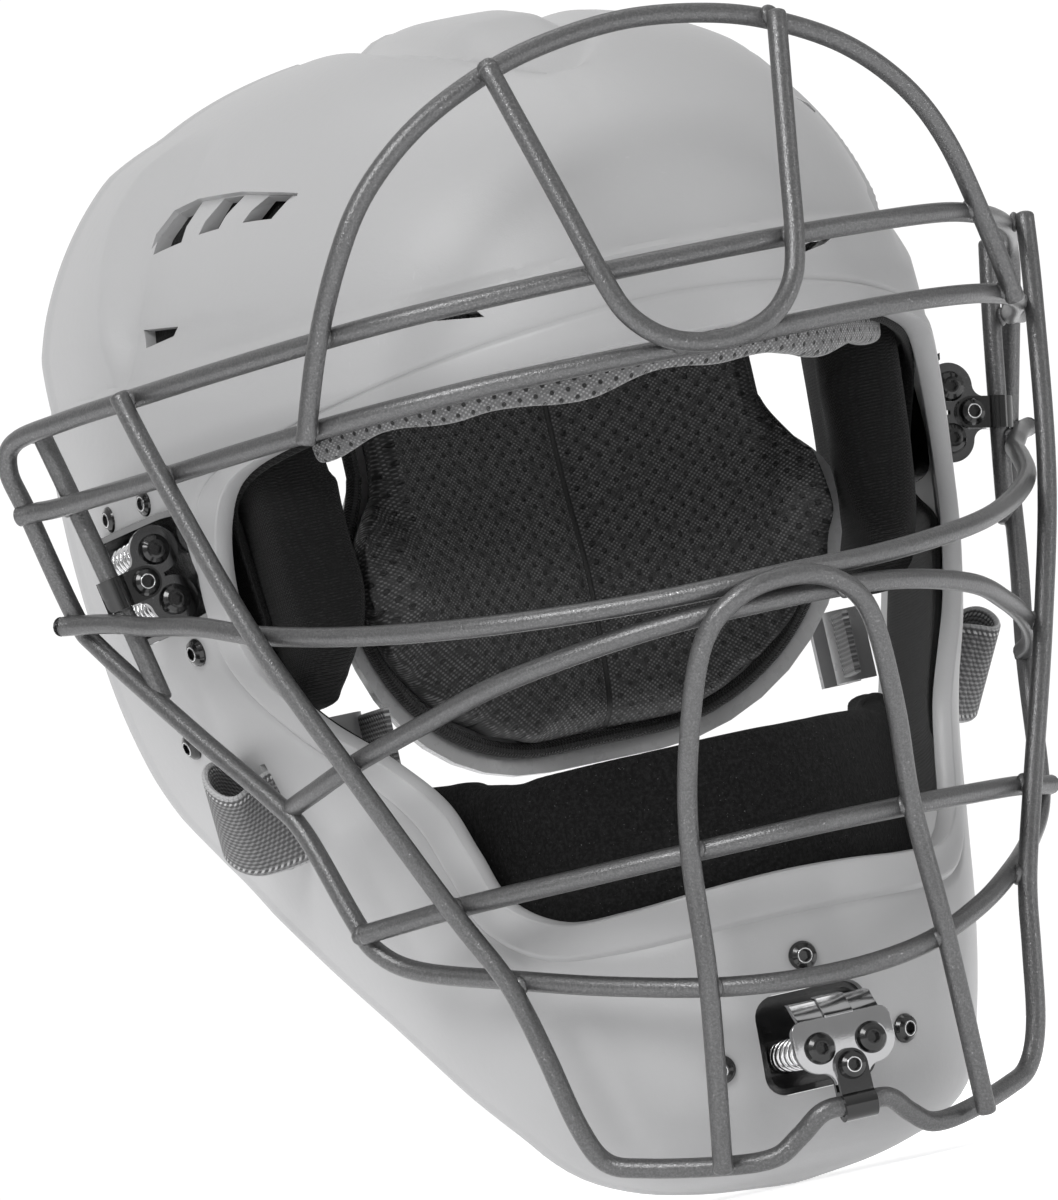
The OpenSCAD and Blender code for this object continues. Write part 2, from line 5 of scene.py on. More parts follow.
import bmesh
import bpy
import numpy as np
from mathutils import Matrix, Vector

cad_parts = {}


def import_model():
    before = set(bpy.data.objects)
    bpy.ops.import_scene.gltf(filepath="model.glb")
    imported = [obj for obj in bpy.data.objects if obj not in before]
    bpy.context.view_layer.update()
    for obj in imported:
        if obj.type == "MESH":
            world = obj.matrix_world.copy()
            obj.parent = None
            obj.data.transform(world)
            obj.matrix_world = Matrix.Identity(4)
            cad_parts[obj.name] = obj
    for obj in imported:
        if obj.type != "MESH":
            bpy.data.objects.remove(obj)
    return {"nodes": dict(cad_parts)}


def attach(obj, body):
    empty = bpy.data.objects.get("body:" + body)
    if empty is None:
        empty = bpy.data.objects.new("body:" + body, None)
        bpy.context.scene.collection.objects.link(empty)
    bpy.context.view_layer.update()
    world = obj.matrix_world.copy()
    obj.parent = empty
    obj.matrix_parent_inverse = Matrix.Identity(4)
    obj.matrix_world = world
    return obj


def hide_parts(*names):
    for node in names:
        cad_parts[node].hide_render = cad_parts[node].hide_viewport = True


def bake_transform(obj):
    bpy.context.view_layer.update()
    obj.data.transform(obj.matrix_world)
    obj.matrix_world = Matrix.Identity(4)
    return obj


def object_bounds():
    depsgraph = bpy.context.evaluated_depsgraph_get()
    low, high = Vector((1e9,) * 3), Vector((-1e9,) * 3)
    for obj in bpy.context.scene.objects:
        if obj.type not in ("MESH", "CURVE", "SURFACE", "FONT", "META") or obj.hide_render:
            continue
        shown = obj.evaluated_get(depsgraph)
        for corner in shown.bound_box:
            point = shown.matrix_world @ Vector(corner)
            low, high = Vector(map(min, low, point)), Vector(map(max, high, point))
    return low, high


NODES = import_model()["nodes"]
cad_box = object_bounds()
scene = bpy.context.scene
norm = np.linalg.norm
MM = 0.001
# Middle of the upper brow bar in the frame: the shapes below are laid out from it, in mm
BROW = np.array([0.0, -125.0, 40.0])
SIDES = ((1, "right"), (-1, "left"))
PLACES = ("left", "right", "chin")


def add(name, data):
    thing = bpy.data.objects.new(name, data)
    scene.collection.objects.link(thing)
    return thing


# -------- camera

CAMERA_AT = (-0.7687, -2.3116, -0.1448)
AZIMUTH, ELEVATION, ROLL = 18.0, 2.83, 12.74


def placed(right, up, back, place):
    """Matrix of a camera or a light, from its axes and its place."""
    return Matrix([*zip(right, up, back, place), (0, 0, 0, 1)])


def set_camera():
    data = bpy.data.cameras.new("camera")
    data.lens = 300
    data.sensor_width = 36
    data.clip_end = 50
    camera = add("camera", data)
    azimuth, elevation, roll = (radians(a) for a in (AZIMUTH, ELEVATION, ROLL))
    forward = np.array([sin(azimuth) * cos(elevation),
                        cos(azimuth) * cos(elevation), sin(elevation)])
    level = np.array([cos(azimuth), -sin(azimuth), 0.0])
    up = np.cross(level, forward)
    right = level * cos(roll) - up * sin(roll)
    up = np.cross(right, forward)
    camera.matrix_world = placed(right, up, -forward, CAMERA_AT)
    scene.camera = camera


set_camera()

# -------- shader helper


class Nodes:
    """The node tree of a material or a world."""

    def __init__(self, owner):
        owner.use_nodes = True
        self.tree = owner.node_tree
        self.tree.nodes.clear()

    def node(self, kind, **settings):
        node = self.tree.nodes.new(kind)
        for key, value in settings.items():
            setattr(node, key, value)
        return node

    def feed(self, socket, value):
        if isinstance(value, bpy.types.NodeSocket):
            self.tree.links.new(value, socket)
        elif isinstance(value, (tuple, list)) and len(value) == 3 and socket.type == "RGBA":
            socket.default_value = (*value, 1.0)
        else:
            socket.default_value = value

    def feed_all(self, node, **values):
        for key, value in values.items():
            self.feed(node.inputs[key.replace("_", " ")], value)

    def ramp(self, value, low, high, start=0.0, end=1.0):
        node = self.node("ShaderNodeMapRange", interpolation_type="SMOOTHSTEP")
        for socket, item in zip(node.inputs, (value, low, high, start, end)):
            self.feed(socket, item)
        return node.outputs[0]


class Finish(Nodes):
    """A node material round one Principled shader."""

    def __init__(self, name):
        self.material = bpy.data.materials.new(name)
        super().__init__(self.material)
        self.shader = self.node("ShaderNodeBsdfPrincipled")
        output = self.node("ShaderNodeOutputMaterial")
        self.feed(output.inputs[0], self.shader.outputs[0])
        self.place = self.node("ShaderNodeTexCoord").outputs["Object"]

    def set(self, **values):
        self.feed_all(self.shader, **values)

    def calc(self, operation, a, b=0.0, c=0.0):
        node = self.node("ShaderNodeMath", operation=operation)
        for socket, value in zip(node.inputs, (a, b, c)):
            self.feed(socket, value)
        return node.outputs[0]

    def times(self, a, b):
        return self.calc("MULTIPLY", a, b)

    def noise(self, scale, detail=2.0, stretch=None, roughness=0.5):
        node = self.node("ShaderNodeTexNoise")
        vector = self.place
        if stretch:
            mapping = self.node("ShaderNodeMapping")
            self.feed_all(mapping, Vector=vector, Scale=stretch)
            vector = mapping.outputs[0]
        self.feed_all(node, Vector=vector, Scale=scale, Detail=detail, Roughness=roughness)
        return node.outputs["Fac"]

    def mix(self, factor, a, b):
        node = self.node("ShaderNodeMix", data_type="RGBA")
        for index, value in ((0, factor), (6, a), (7, b)):
            self.feed(node.inputs[index], value)
        return node.outputs[2]

    def bump(self, height, distance, strength=1.0, below=None):
        node = self.node("ShaderNodeBump")
        self.feed_all(node, Height=height, Distance=distance, Strength=strength)
        if below:
            self.feed_all(node, Normal=below)
        self.set(Normal=node.outputs[0])
        return node.outputs[0]

    def wave(self, value, pitch):
        return self.calc("SINE", self.times(value, tau / pitch))

    def fabric(self):
        """Place on the cloth, in mm across and along."""
        node = self.node("ShaderNodeUVMap", uv_map="fabric")
        split = self.node("ShaderNodeSeparateXYZ")
        self.feed(split.inputs[0], node.outputs[0])
        return split.outputs[0], split.outputs[1]

    def cell(self, u, v, pitch_u, pitch_v, shift=0.0):
        """Distance from the middle of the nearest cell of a grid, in mm."""
        parts = []
        for value, pitch in ((u, pitch_u), (v, pitch_v)):
            turns = self.calc("MULTIPLY_ADD", value, 1 / pitch, shift + 1000)
            part = self.calc("SUBTRACT", self.calc("FRACT", turns), 0.5)
            parts.append(self.times(part, pitch))
        squares = [self.times(part, part) for part in parts]
        return self.calc("SQRT", self.calc("ADD", *squares))

    def holes(self, u, v, pitch_u, pitch_v):
        """Distance from the nearest hole of a staggered grid, in mm."""
        return self.calc("MINIMUM", self.cell(u, v, pitch_u, pitch_v),
                         self.cell(u, v, pitch_u, pitch_v, 0.5))


def grey(value):
    return (value, value, value * 1.01)


# -------- finishes


def shell_finish():
    f = Finish("satin_shell_plastic")
    cloud = f.ramp(f.noise(9, 3), 0.35, 0.65)
    speck = f.ramp(f.noise(2600, 1), 0.62, 0.74)
    scuff = f.times(f.ramp(f.noise(240, 4, (1, 6, 1)), 0.66, 0.78),
                   f.ramp(f.noise(22, 2), 0.5, 0.66))
    colour = f.mix(cloud, grey(0.365), grey(0.38))
    colour = f.mix(f.times(speck, 0.25), colour, grey(0.35))
    colour = f.mix(f.times(scuff, 0.3), colour, grey(0.5))
    f.set(Base_Color=colour, Roughness=f.calc("MULTIPLY_ADD", scuff, 0.2, 0.4))
    f.set(Specular_IOR_Level=0.42)
    peel = f.bump(f.noise(420, 2), 0.00012, 0.5)
    f.bump(f.noise(3200, 2), 0.00005, 0.5, below=peel)
    return f.material


def cage_finish():
    f = Finish("powder_coated_wire")
    grain = f.noise(1900, 2, roughness=0.55)
    spark = f.ramp(f.noise(3000, 1), 0.64, 0.74)
    colour = f.mix(f.ramp(grain, 0.35, 0.7), grey(0.105), grey(0.14))
    colour = f.mix(spark, colour, grey(0.3))
    f.set(Base_Color=colour, Metallic=0.7, Roughness=f.ramp(spark, 0, 1, 0.36, 0.24))
    dip = f.bump(f.noise(200, 2), 0.0002, 0.3)
    f.bump(grain, 0.0002, 0.6, below=dip)
    return f.material


def hard_finish(name, colour, roughness, wear, metallic=0.0, coat=0.0, grain=3e-5):
    """Moulded, painted or plated part: fine grain, dirt in the large and wear in the small."""
    f = Finish(name)
    cloud = f.ramp(f.noise(60, 3), 0.3, 0.7)
    base = f.mix(cloud, grey(colour * 0.97), grey(colour * 1.03))
    rubbed = f.ramp(f.noise(700, 3), 0.64, 0.76)
    base = f.mix(f.times(rubbed, 0.5), base, grey(wear))
    f.set(Base_Color=base, Metallic=metallic, Coat_Weight=coat, Coat_Roughness=0.08)
    f.set(Roughness=f.ramp(f.noise(300, 3), 0.3, 0.7, roughness * 0.8, roughness * 1.25))
    f.bump(f.noise(1800, 2), grain, 0.6)
    return f.material


def mesh_finish(name, base, painted_highlight, pitch, sheen, seam=False, big=1.0):
    """Perforated spacer mesh: staggered holes in a knit of short shiny loops, the loop tops with a
    painted highlight and the holes with painted shade.
    """
    f = Finish(name)
    u, v = f.fabric()
    hole = f.ramp(f.holes(u, v, *pitch), 0.42 * big, 0.66 * big)
    loops = f.ramp(f.times(f.wave(u, 1.4), f.wave(v, 1.1)), -0.2, 0.9)
    strand_highlight = f.times(loops, f.ramp(f.noise(500, 2), 0.3, 0.6))
    # Painted highlight: the tops of the loops are painted lighter than the knit.
    colour = f.mix(strand_highlight, grey(base), grey(painted_highlight))
    # Painted shade: the holes are painted near black, as if in shadow.
    colour = f.mix(hole, grey(0.002), colour)
    height = f.calc("MULTIPLY_ADD", loops, 0.3, hole)
    if seam:
        line = f.ramp(f.calc("ABSOLUTE", u), 0.35, 0.9)
        colour = f.mix(line, grey(0.003), colour)
        height = f.times(height, line)
    f.set(Base_Color=colour, Roughness=f.ramp(strand_highlight, 0, 1, 0.62, 0.34))
    f.set(Sheen_Weight=sheen, Sheen_Roughness=0.4, Specular_IOR_Level=0.5)
    f.bump(height, 0.0006, 0.7)
    return f.material


def knit_finish(name, base, painted_highlight, fuzz=0.05):
    """Fine rib knit, with a short nap and a painted highlight on the raised yarn."""
    f = Finish(name)
    u, v = f.fabric()
    wave = f.wave(u, 1.1)
    tick = f.calc("SINE", f.calc("MULTIPLY_ADD", v, tau / 0.8, wave))
    yarn = f.ramp(f.times(wave, tick), -0.5, 0.9)
    nap = f.noise(1500, 3)
    # Painted highlight: the raised yarn is painted lighter than the knit between it.
    colour = f.mix(f.times(yarn, f.ramp(nap, 0.4, 0.7)), grey(base), grey(painted_highlight))
    f.set(Base_Color=colour, Roughness=0.85, Specular_IOR_Level=0.2)
    f.set(Sheen_Weight=fuzz, Sheen_Roughness=0.55)
    f.bump(f.calc("ADD", yarn, nap), 0.0003, 0.8)
    return f.material


def fleece_finish():
    f = Finish("brushed_black_fleece")
    nap = f.noise(1100, 4, roughness=0.65)
    lint = f.ramp(f.noise(2300, 1), 0.74, 0.8)
    tuft = f.noise(170, 3)
    colour = f.mix(f.ramp(nap, 0.35, 0.75), grey(0.003), grey(0.014))
    colour = f.mix(lint, colour, grey(0.12))
    f.set(Base_Color=colour, Roughness=0.95, Specular_IOR_Level=0.15)
    f.set(Sheen_Weight=0.03, Sheen_Roughness=0.6)
    soft = f.bump(tuft, 0.0012, 0.5)
    f.bump(nap, 0.0006, 0.8, below=soft)
    return f.material


def web_finish(name, base, light, width):
    """Woven tape: rows of small floats along it, and a stitched selvedge on both edges."""
    f = Finish(name)
    u, v = f.fabric()
    row = 1.15
    rows = f.wave(u, row)
    lean = f.times(u, tau / row / 2)
    picks = f.calc("SINE", f.calc("MULTIPLY_ADD", v, tau / 1.3, lean))
    weave = f.ramp(f.calc("ADD", rows, f.times(picks, 0.75)), -0.9, 1.3)
    edge = f.calc("SUBTRACT", width / 2, f.calc("ABSOLUTE", u))
    border = f.ramp(edge, 0.5, 1.0, 1.0, 0.0)
    line = f.ramp(f.calc("ABSOLUTE", f.calc("SUBTRACT", edge, 1.9)), 0.3, 0.55, 1.0, 0.0)
    stitch = f.times(line, f.ramp(picks, -0.2, 0.4))
    colour = f.mix(weave, grey(base * 0.4), grey(base * 1.25))
    colour = f.mix(f.times(border, 0.7), colour, grey(light))
    colour = f.mix(stitch, colour, grey(light))
    f.set(Base_Color=colour, Roughness=0.8, Sheen_Weight=0.15, Sheen_Roughness=0.5)
    fibre = f.bump(f.noise(2200, 2), 0.0001, 0.6)
    f.bump(f.calc("ADD", weave, stitch), 0.0005, 0.9, below=fibre)
    return f.material


SHELL = shell_finish()
WIRE = cage_finish()
BASE = hard_finish("gloss_black_base", 0.012, 0.2, 0.03, coat=0.7)
YOKE = hard_finish("black_chrome", 0.4, 0.11, 0.4, metallic=1.0, grain=1e-5)
SIDE_YOKE = hard_finish("dark_chrome", 0.13, 0.13, 0.3, metallic=1.0, grain=1e-5)
CLAMP = hard_finish("clamp_black_steel", 0.015, 0.15, 0.06, metallic=0.5, coat=0.6, grain=1e-5)
BLACK_STEEL = hard_finish("black_button_head", 0.008, 0.2, 0.05, metallic=0.2, coat=0.45)
BRIGHT_STEEL = hard_finish("bright_steel", 0.62, 0.2, 0.4, metallic=1.0)
SPRING_STEEL = hard_finish("spring_steel", 0.7, 0.18, 0.5, metallic=1.0)
BACK_PLASTIC = hard_finish("back_plate_plastic", 0.48, 0.3, 0.52, grain=6e-5)
HOOK_PLASTIC = hard_finish("hook_plastic", 0.34, 0.33, 0.42, grain=6e-5)
GREY_MESH = mesh_finish("grey_spacer_mesh", 0.11, 0.3, (3.9, 4.4), 0.4)
BLACK_MESH = mesh_finish("black_spacer_mesh", 0.012, 0.1, (5.5, 4.7), 0.03, seam=True, big=1.25)
BLACK_KNIT = knit_finish("black_rib_knit", 0.003, 0.016)
FLEECE = fleece_finish()
PIPING = knit_finish("black_piping", 0.01, 0.06, fuzz=0.25)
WEBBING = web_finish("grey_webbing", 0.17, 0.5, 25.0)
ELASTIC = web_finish("grey_elastic", 0.19, 0.42, 16.0)

# -------- mesh helpers


def make_piece(name, points, faces, material, angle=35, uv=None):
    """A mesh from points in mm round the brow bar; uv gives a point's place on the cloth."""
    mesh = bpy.data.meshes.new(name)
    spots = (floats(points) + BROW) * MM
    mesh.from_pydata(spots.tolist(), [], [tuple(int(i) for i in f) for f in faces])
    piece = add(name, mesh)
    tidy_piece(piece, material, angle)
    if uv is not None:
        write_uv(mesh, floats(uv))
    return piece


def tidy_piece(piece, material, angle=35):
    mesh = piece.data
    work = bmesh.new()
    work.from_mesh(mesh)
    bmesh.ops.recalc_face_normals(work, faces=work.faces)
    work.to_mesh(mesh)
    work.free()
    mesh.materials.clear()
    mesh.materials.append(material)
    mesh.polygons.foreach_set("use_smooth", [True] * len(mesh.polygons))
    mesh.set_sharp_from_angle(angle=radians(angle))
    mesh.update()


def write_uv(mesh, uv):
    layer = mesh.uv_layers.new(name="fabric")
    corner = np.empty(len(mesh.loops), dtype=np.int64)
    mesh.loops.foreach_get("vertex_index", corner)
    layer.data.foreach_set("uv", uv[corner].ravel())


def declare(piece, body, node=None):
    """Says which body a piece moves with and the CAD node it stands for."""
    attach(piece, body)
    if node:
        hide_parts(node)


def modify(piece, kind, **settings):
    change = piece.modifiers.new(kind.lower(), kind)
    for key, value in settings.items():
        setattr(change, key, value)
    return change


def bake(piece):
    """Makes a piece's modifiers part of its mesh."""
    graph = bpy.context.evaluated_depsgraph_get()
    graph.update()
    mesh = bpy.data.meshes.new_from_object(piece.evaluated_get(graph))
    piece.modifiers.clear()
    piece.data = mesh


def unit(v):
    return v / norm(v, axis=-1, keepdims=True)


def floats(values):
    return np.asarray(values, dtype=float)


def together(*columns):
    """Arrays of x, y and z, of u and v or of corners, as the rows of one array."""
    return np.stack(np.broadcast_arrays(*columns), axis=-1)


def arc(x, y, radius, first, last, steps):
    turns = np.radians(np.linspace(first, last, steps))
    return [(x + radius * cos(a), y + radius * sin(a)) for a in turns]


def curve(points, steps, closed=False):
    """Catmull-Rom curve through points, as in the CAD."""
    p = floats(points)
    n = len(p)
    near = np.arange(n if closed else n - 1)[:, None] + (-1, 0, 1, 2)
    near = near % n if closed else np.clip(near, 0, n - 1)
    a, b, c, d = (p[near[:, k]][:, None, :] for k in range(4))
    t = (np.arange(steps) / steps)[None, :, None]
    spots = (b + (c - a) * t / 2 + (a - 2.5 * b + 2 * c - d / 2) * t ** 2
             + (-a / 2 + 1.5 * b - 1.5 * c + d / 2) * t ** 3).reshape(-1, p.shape[1])
    return spots if closed else np.vstack([spots, p[-1]])


def both_sides(half):
    half = floats(half)
    return np.vstack([half[:0:-1] * (-1, 1, 1), half])


def tube_faces(n, sides, closed=False):
    """Faces round n rings of points, the last joined to the first or both ends capped."""
    faces = [(i * sides + k, i * sides + (k + 1) % sides,
              (i + 1) % n * sides + (k + 1) % sides, (i + 1) % n * sides + k)
             for i in range(n if closed else n - 1) for k in range(sides)]
    if not closed:
        faces += [tuple(range(sides))[::-1], tuple((n - 1) * sides + k for k in range(sides))]
    return faces


def tube(route, radius, sides=16, closed=False, taper=None):
    """Points and faces of a round tube, its frames carried along without twist."""
    route = floats(route)
    n = len(route)
    if closed:
        along = unit(np.roll(route, -1, 0) - np.roll(route, 1, 0))
    else:
        along = unit(np.gradient(route, axis=0))
    side, carried = np.cross(along[0], (0.2, 0.3, 0.93)), []
    for step in along:
        side = side - step * np.dot(side, step)
        side = side / norm(side)
        carried.append(side)
    side = np.array(carried)
    other = np.cross(along, side)
    angle = (np.arange(sides) * tau / sides)[:, None]
    size = radius * (np.ones(n) if taper is None else taper)
    rings = route[:, None] + size[:, None, None] * (np.cos(angle) * side[:, None]
                                                    + np.sin(angle) * other[:, None])
    return rings.reshape(-1, 3), tube_faces(n, sides, closed)


def prism_faces(n):
    """Faces of a prism whose two outlines of n points follow each other."""
    faces = [tuple(range(n)), tuple(range(2 * n - 1, n - 1, -1))]
    return faces + [(i, i + n, (i + 1) % n + n, (i + 1) % n) for i in range(n)]


def merge(parts):
    """One point list and face list from several."""
    points, faces, base = [], [], 0
    for spots, polygons in parts:
        points.append(floats(spots))
        faces += [tuple(i + base for i in face) for face in polygons]
        base += len(spots)
    return np.vstack(points), faces


# -------- wire cage

WIRE_R = 2.4
PERIMETER = [
    [0, 1, 0], [24, 3, 0], [50, 11, 0], [68, 21, 0], [82, 37, 0], [98, 63, 0], [113, 94, 0],
    [124, 121, 0], [131, 141, -1], [132.5, 147, -7], [130, 147.5, -18], [123.5, 149, -45],
    [120, 146, -54], [108, 123, -80], [98, 105, -100], [94, 98, -110], [89, 91, -132],
    [86, 88, -141], [79, 80, -148], [64, 58, -155], [46, 37, -162], [24, 19, -168], [0, 13, -170]]
FREE_WIRES = {
    "lower_brow_wire": [
        [0, -0.5, -21], [24, 2, -20.5], [50, 11, -20], [70, 23, -20], [86.5, 42, -20],
        [100, 66, -20], [109, 88, -20], [118, 115, -19.5], [125.5, 136, -19], [129, 143, -18.5],
        [133, 147, -18.5]],
    "upper_eye_wire": [
        [0, -6, -77.5], [30, 4, -77], [60, 24, -74], [82, 52, -69], [98.5, 80, -62.5],
        [107, 103, -56], [113.3, 122.3, -52.5], [117.7, 130.8, -50], [121.5, 138.5, -48.3],
        [125, 145, -47.2], [128.2, 148.2, -46.5]],
    "lower_eye_wire": [
        [0, -6, -83], [30, 4, -83.5], [58, 27, -87], [74, 48, -92], [86.5, 70, -97], [93, 87, -101],
        [95, 100.5, -103]],
    "chin_wire": [
        [0, 9, -135.5], [28, 21, -135.5], [52, 41, -135.5], [71.5, 63, -135.5], [81, 77, -136],
        [89.5, 86, -136.5]],
    "front_loop_wire": [
        [0, 21, -201], [8, 22, -201], [14, 26, -205.5], [20, 29, -209], [30, 34, -208.5],
        [46, 45, -205], [54, 50, -201.5], [58.5, 50.5, -192], [62, 51.5, -175], [64.5, 53, -163],
        [67.5, 54.5, -153], [75, 59.5, -135], [89.5, 67, -98], [102.5, 76, -62], [113, 86, -20],
        [117.5, 91, 1.5]],
    "halo_wire": [
        [0, 12, 58], [20, 12.5, 56], [36.5, 14, 51.5], [54, 17, 43], [68, 21.5, 31], [77, 26, 17],
        [84.5, 33.5, -2], [90.5, 39.5, -23]],
    "forehead_wire": [
        [0, -5.3, -21.5], [12, -5, -19], [20, -3.5, -12], [24, -2, -2], [28.5, 2, 18],
        [36.4, 9.6, 53]],
    "chin_arch_wire": [
        [0, -10.6, -78.5], [12, -9.2, -81], [21, -4, -90], [26, 7, -112], [28, 16.5, -135],
        [30, 19, -167], [33.5, 28.5, -210]],
}
MOUNT_ROD = np.array([
    [125, 139, 0.5], [120.8, 137.5, -19], [114.3, 134.5, -52], [111, 133, -70]])


def round_ends(route):
    """Adds the steps of a slightly rounded cut to both ends."""
    depth, size = np.array([[0.0], [0.25], [0.8]]), np.array([0.72, 0.9, 1.0])
    first, last = (end + unit(inner - end) * depth
                   for end, inner in (route[:2], route[:-3:-1]))
    return (np.vstack([first, route[1:-1], last[::-1]]),
            np.concatenate([size, np.ones(len(route) - 2), size[::-1]]))


def cage_wire(name, route, closed=False):
    spots, taper = (route, None) if closed else round_ends(route)
    points, faces = tube(spots, WIRE_R, closed=closed, taper=taper)
    piece = make_piece(name + "_coated", points, faces, WIRE, angle=50)
    declare(piece, "cage", name)


def weld_bead(at, across, seed):
    """A low lumpy ring of weld where two wires lie on each other."""
    rng = np.random.default_rng(seed)
    work = bmesh.new()
    bmesh.ops.create_icosphere(work, subdivisions=3, radius=1.0)
    spots = np.array([v.co[:] for v in work.verts])
    faces = [tuple(v.index for v in face.verts) for face in work.faces]
    work.free()
    wave = rng.normal(size=(4, 3)) * 2.2
    lump = sum(np.sin(spots @ w + i) for i, w in enumerate(wave)) * 0.035
    along = unit(across)
    part = np.outer(spots @ along, along)
    spots = (spots - part) * 2.45 + part * 1.5
    return at + spots * (1 + lump)[:, None], faces


# Two wires closer than this, middle to middle, are welded; beads stay this far apart
WELD_GAP, BEAD_GAP = 1.12 * 2 * WIRE_R, 9


def build_cage():
    rim = floats(PERIMETER)
    rim = np.vstack([rim, rim[-2:0:-1] * (-1, 1, 1)])
    routes = {"perimeter_wire": curve(rim, 8, closed=True)}
    cage_wire("perimeter_wire", routes["perimeter_wire"], closed=True)
    for name, half in FREE_WIRES.items():
        routes[name] = curve(both_sides(half), 8)
        cage_wire(name, routes[name])
    for side, hand in SIDES:
        name = "mount_rod_" + hand
        routes[name] = curve(MOUNT_ROD * (side, 1, 1), 8)
        cage_wire(name, routes[name])
    beads = []
    names = sorted(routes)
    for i, first in enumerate(names):
        for second in names[i + 1:]:
            a, b = routes[first], routes[second]
            gap = norm(a[:, None] - b, axis=2)
            taken = []
            for k in np.argsort(gap.min(axis=1)):
                j = int(gap[k].argmin())
                if gap[k, j] > WELD_GAP:
                    break
                middle = (a[k] + b[j]) / 2
                if all(norm(middle - t) > BEAD_GAP for t in taken):
                    taken.append(middle)
                    beads.append(weld_bead(middle, a[k] - b[j], len(beads)))
    piece = make_piece("cage_welds", *merge(beads), WIRE, angle=60)
    declare(piece, "cage")


build_cage()

# -------- helmet shell

WIDEST_Z, WIDEST_Y = -20.0, 190.0
CROWN_H, CROWN_POWER = 102.0, 2.65
SECTIONS = np.array([
    [-20, 107, 30, 190], [-60, 105, 32, 190], [-90, 98, 34, 184], [-115, 87, 35, 166],
    [-140, 79, 36, 148], [-163, 70, 36, 125], [-186, 60, 38, 106], [-202, 50, 43, 90],
    [-210, 37, 51, 83], [-214, 21, 63, 79], [-216, 2, 76, 78]], dtype=float)
REAR_REACH = 300.0
SHELL_T = 4.0
CENTRE = np.array([0.0, 130.0, -60.0])
PORT = [
    [0, -15], [10, -15], [20, -15], [30, -15], [40, -15], [52, -15.4], [64, -16.4], [76, -18],
    [89, -22], [93.5, -32], [94.5, -50], [92, -67], [84, -84], [74, -98], [66, -111], [62, -124],
    [58, -137], [49, -145], [36, -146], [18, -145], [0, -144.5]]
RIM = np.array([
    [-216, 80], [-207, 88], [-193, 97], [-179, 113], [-158, 134], [-137, 158], [-125, 173],
    [-110, 186], [-97, 193], [-85, 196], [0, 196], [30, 191], [55, 182], [82, 172]], dtype=float)


def ease(x, low, high):
    t = np.clip((x - low) / (high - low), 0, 1)
    return t * t * (3 - 2 * t)


def section_at(z):
    s = np.power(np.clip(1 - np.power(np.clip((z - WIDEST_Z) / CROWN_H, 0, 1), CROWN_POWER),
                         1e-4, 1), 1 / CROWN_POWER)
    upper = together(107 * s, 160 * s, WIDEST_Y)
    heights = SECTIONS[:, 0]
    i = np.clip(np.searchsorted(-heights[1:], -z, side="right"), 0, len(heights) - 2)
    slope = np.zeros_like(SECTIONS)
    slope[1:-1] = (SECTIONS[2:] - SECTIONS[:-2]) / (heights[2:] - heights[:-2])[:, None]
    slope[-1] = (SECTIONS[-1] - SECTIONS[-2]) / (heights[-1] - heights[-2])
    h = heights[i + 1] - heights[i]
    t = ((z - heights[i]) / h)[..., None]
    h = h[..., None]
    lower = ((2 * t ** 3 - 3 * t ** 2 + 1) * SECTIONS[i] + (t ** 3 - 2 * t ** 2 + t) * h * slope[i]
             + (3 * t ** 2 - 2 * t ** 3) * SECTIONS[i + 1] + (t ** 3 - t ** 2) * h * slope[i + 1])
    lower = together(lower[..., 1], lower[..., 3] - lower[..., 2], lower[..., 3])
    return np.where((z >= WIDEST_Z)[..., None], upper, lower)


def inside(p):
    s = section_at(p[..., 2])
    dy = p[..., 1] - s[..., 2]
    reach = np.where(dy < 0, s[..., 1], REAR_REACH)
    in_section = (p[..., 0] / s[..., 0]) ** 2 + (dy / reach) ** 2 < 1
    return in_section & (p[..., 2] <= WIDEST_Z + CROWN_H) & (p[..., 2] >= SECTIONS[-1, 0])


def bisect(shape, low, high, steps, below):
    """Where the test "below" stops being true, for each element between two limits."""
    low, high = np.full(shape, low), np.full(shape, high)
    for _ in range(steps):
        middle = (low + high) / 2
        keep = below(middle)
        low, high = np.where(keep, middle, low), np.where(keep, high, middle)
    return (low + high) / 2


def skin(turn, tilt):
    """Point of the outside in a direction from the centre, both angles in degrees."""
    turn, tilt = np.radians(turn), np.radians(tilt)
    way = together(np.sin(tilt) * np.sin(turn), -np.cos(tilt), np.sin(tilt) * np.cos(turn))
    reach = bisect(way.shape[:-1], 20.0, 300.0, 26,
                   lambda r: inside(CENTRE + way * r[..., None]))
    return CENTRE + way * reach[..., None]


def port_and_rim():
    """Turn of each spoke, and its tilt at the face opening and at the rear edge."""
    half = floats(PORT)
    loop = curve(np.vstack([half, half[-2:0:-1] * (-1, 1)]), 9, closed=True)
    dx, dz = loop[:, 0], loop[:, 1] - CENTRE[2]
    turn, radius = np.degrees(np.arctan2(dx, dz)), np.hypot(dx, dz)

    def within(tilt):
        return np.hypot(*(skin(turn, tilt) - CENTRE)[:, ::2].T) < radius

    def ahead(tilt):
        p = skin(turn, tilt)
        return p[:, 1] < np.interp(p[:, 2], RIM[:, 0], RIM[:, 1])

    start = bisect(turn.shape, 5.0, 90.0, 24, within)
    return turn, start, bisect(turn.shape, 60.0, 165.0, 24, ahead)


# Rows of the shell, by distance from the face opening and from the rear edge, in mm
FRONT_ROWS = [0, 0.5, 1.2, 2.2, 3.5, 5, 6.5, 7.6, 8.2, 8.7, 9.2, 9.7, 10.3, 11.2, 12.6]
REAR_ROWS = [5.0, 3.2, 2.0, 1.1, 0.5, 0]
MIDDLE_ROWS = 104


def side_drop(tilt):
    """How far the side panel in front of the raised rear band lies under the plain shell."""
    return 3.0 * ease(tilt, 60, 90)


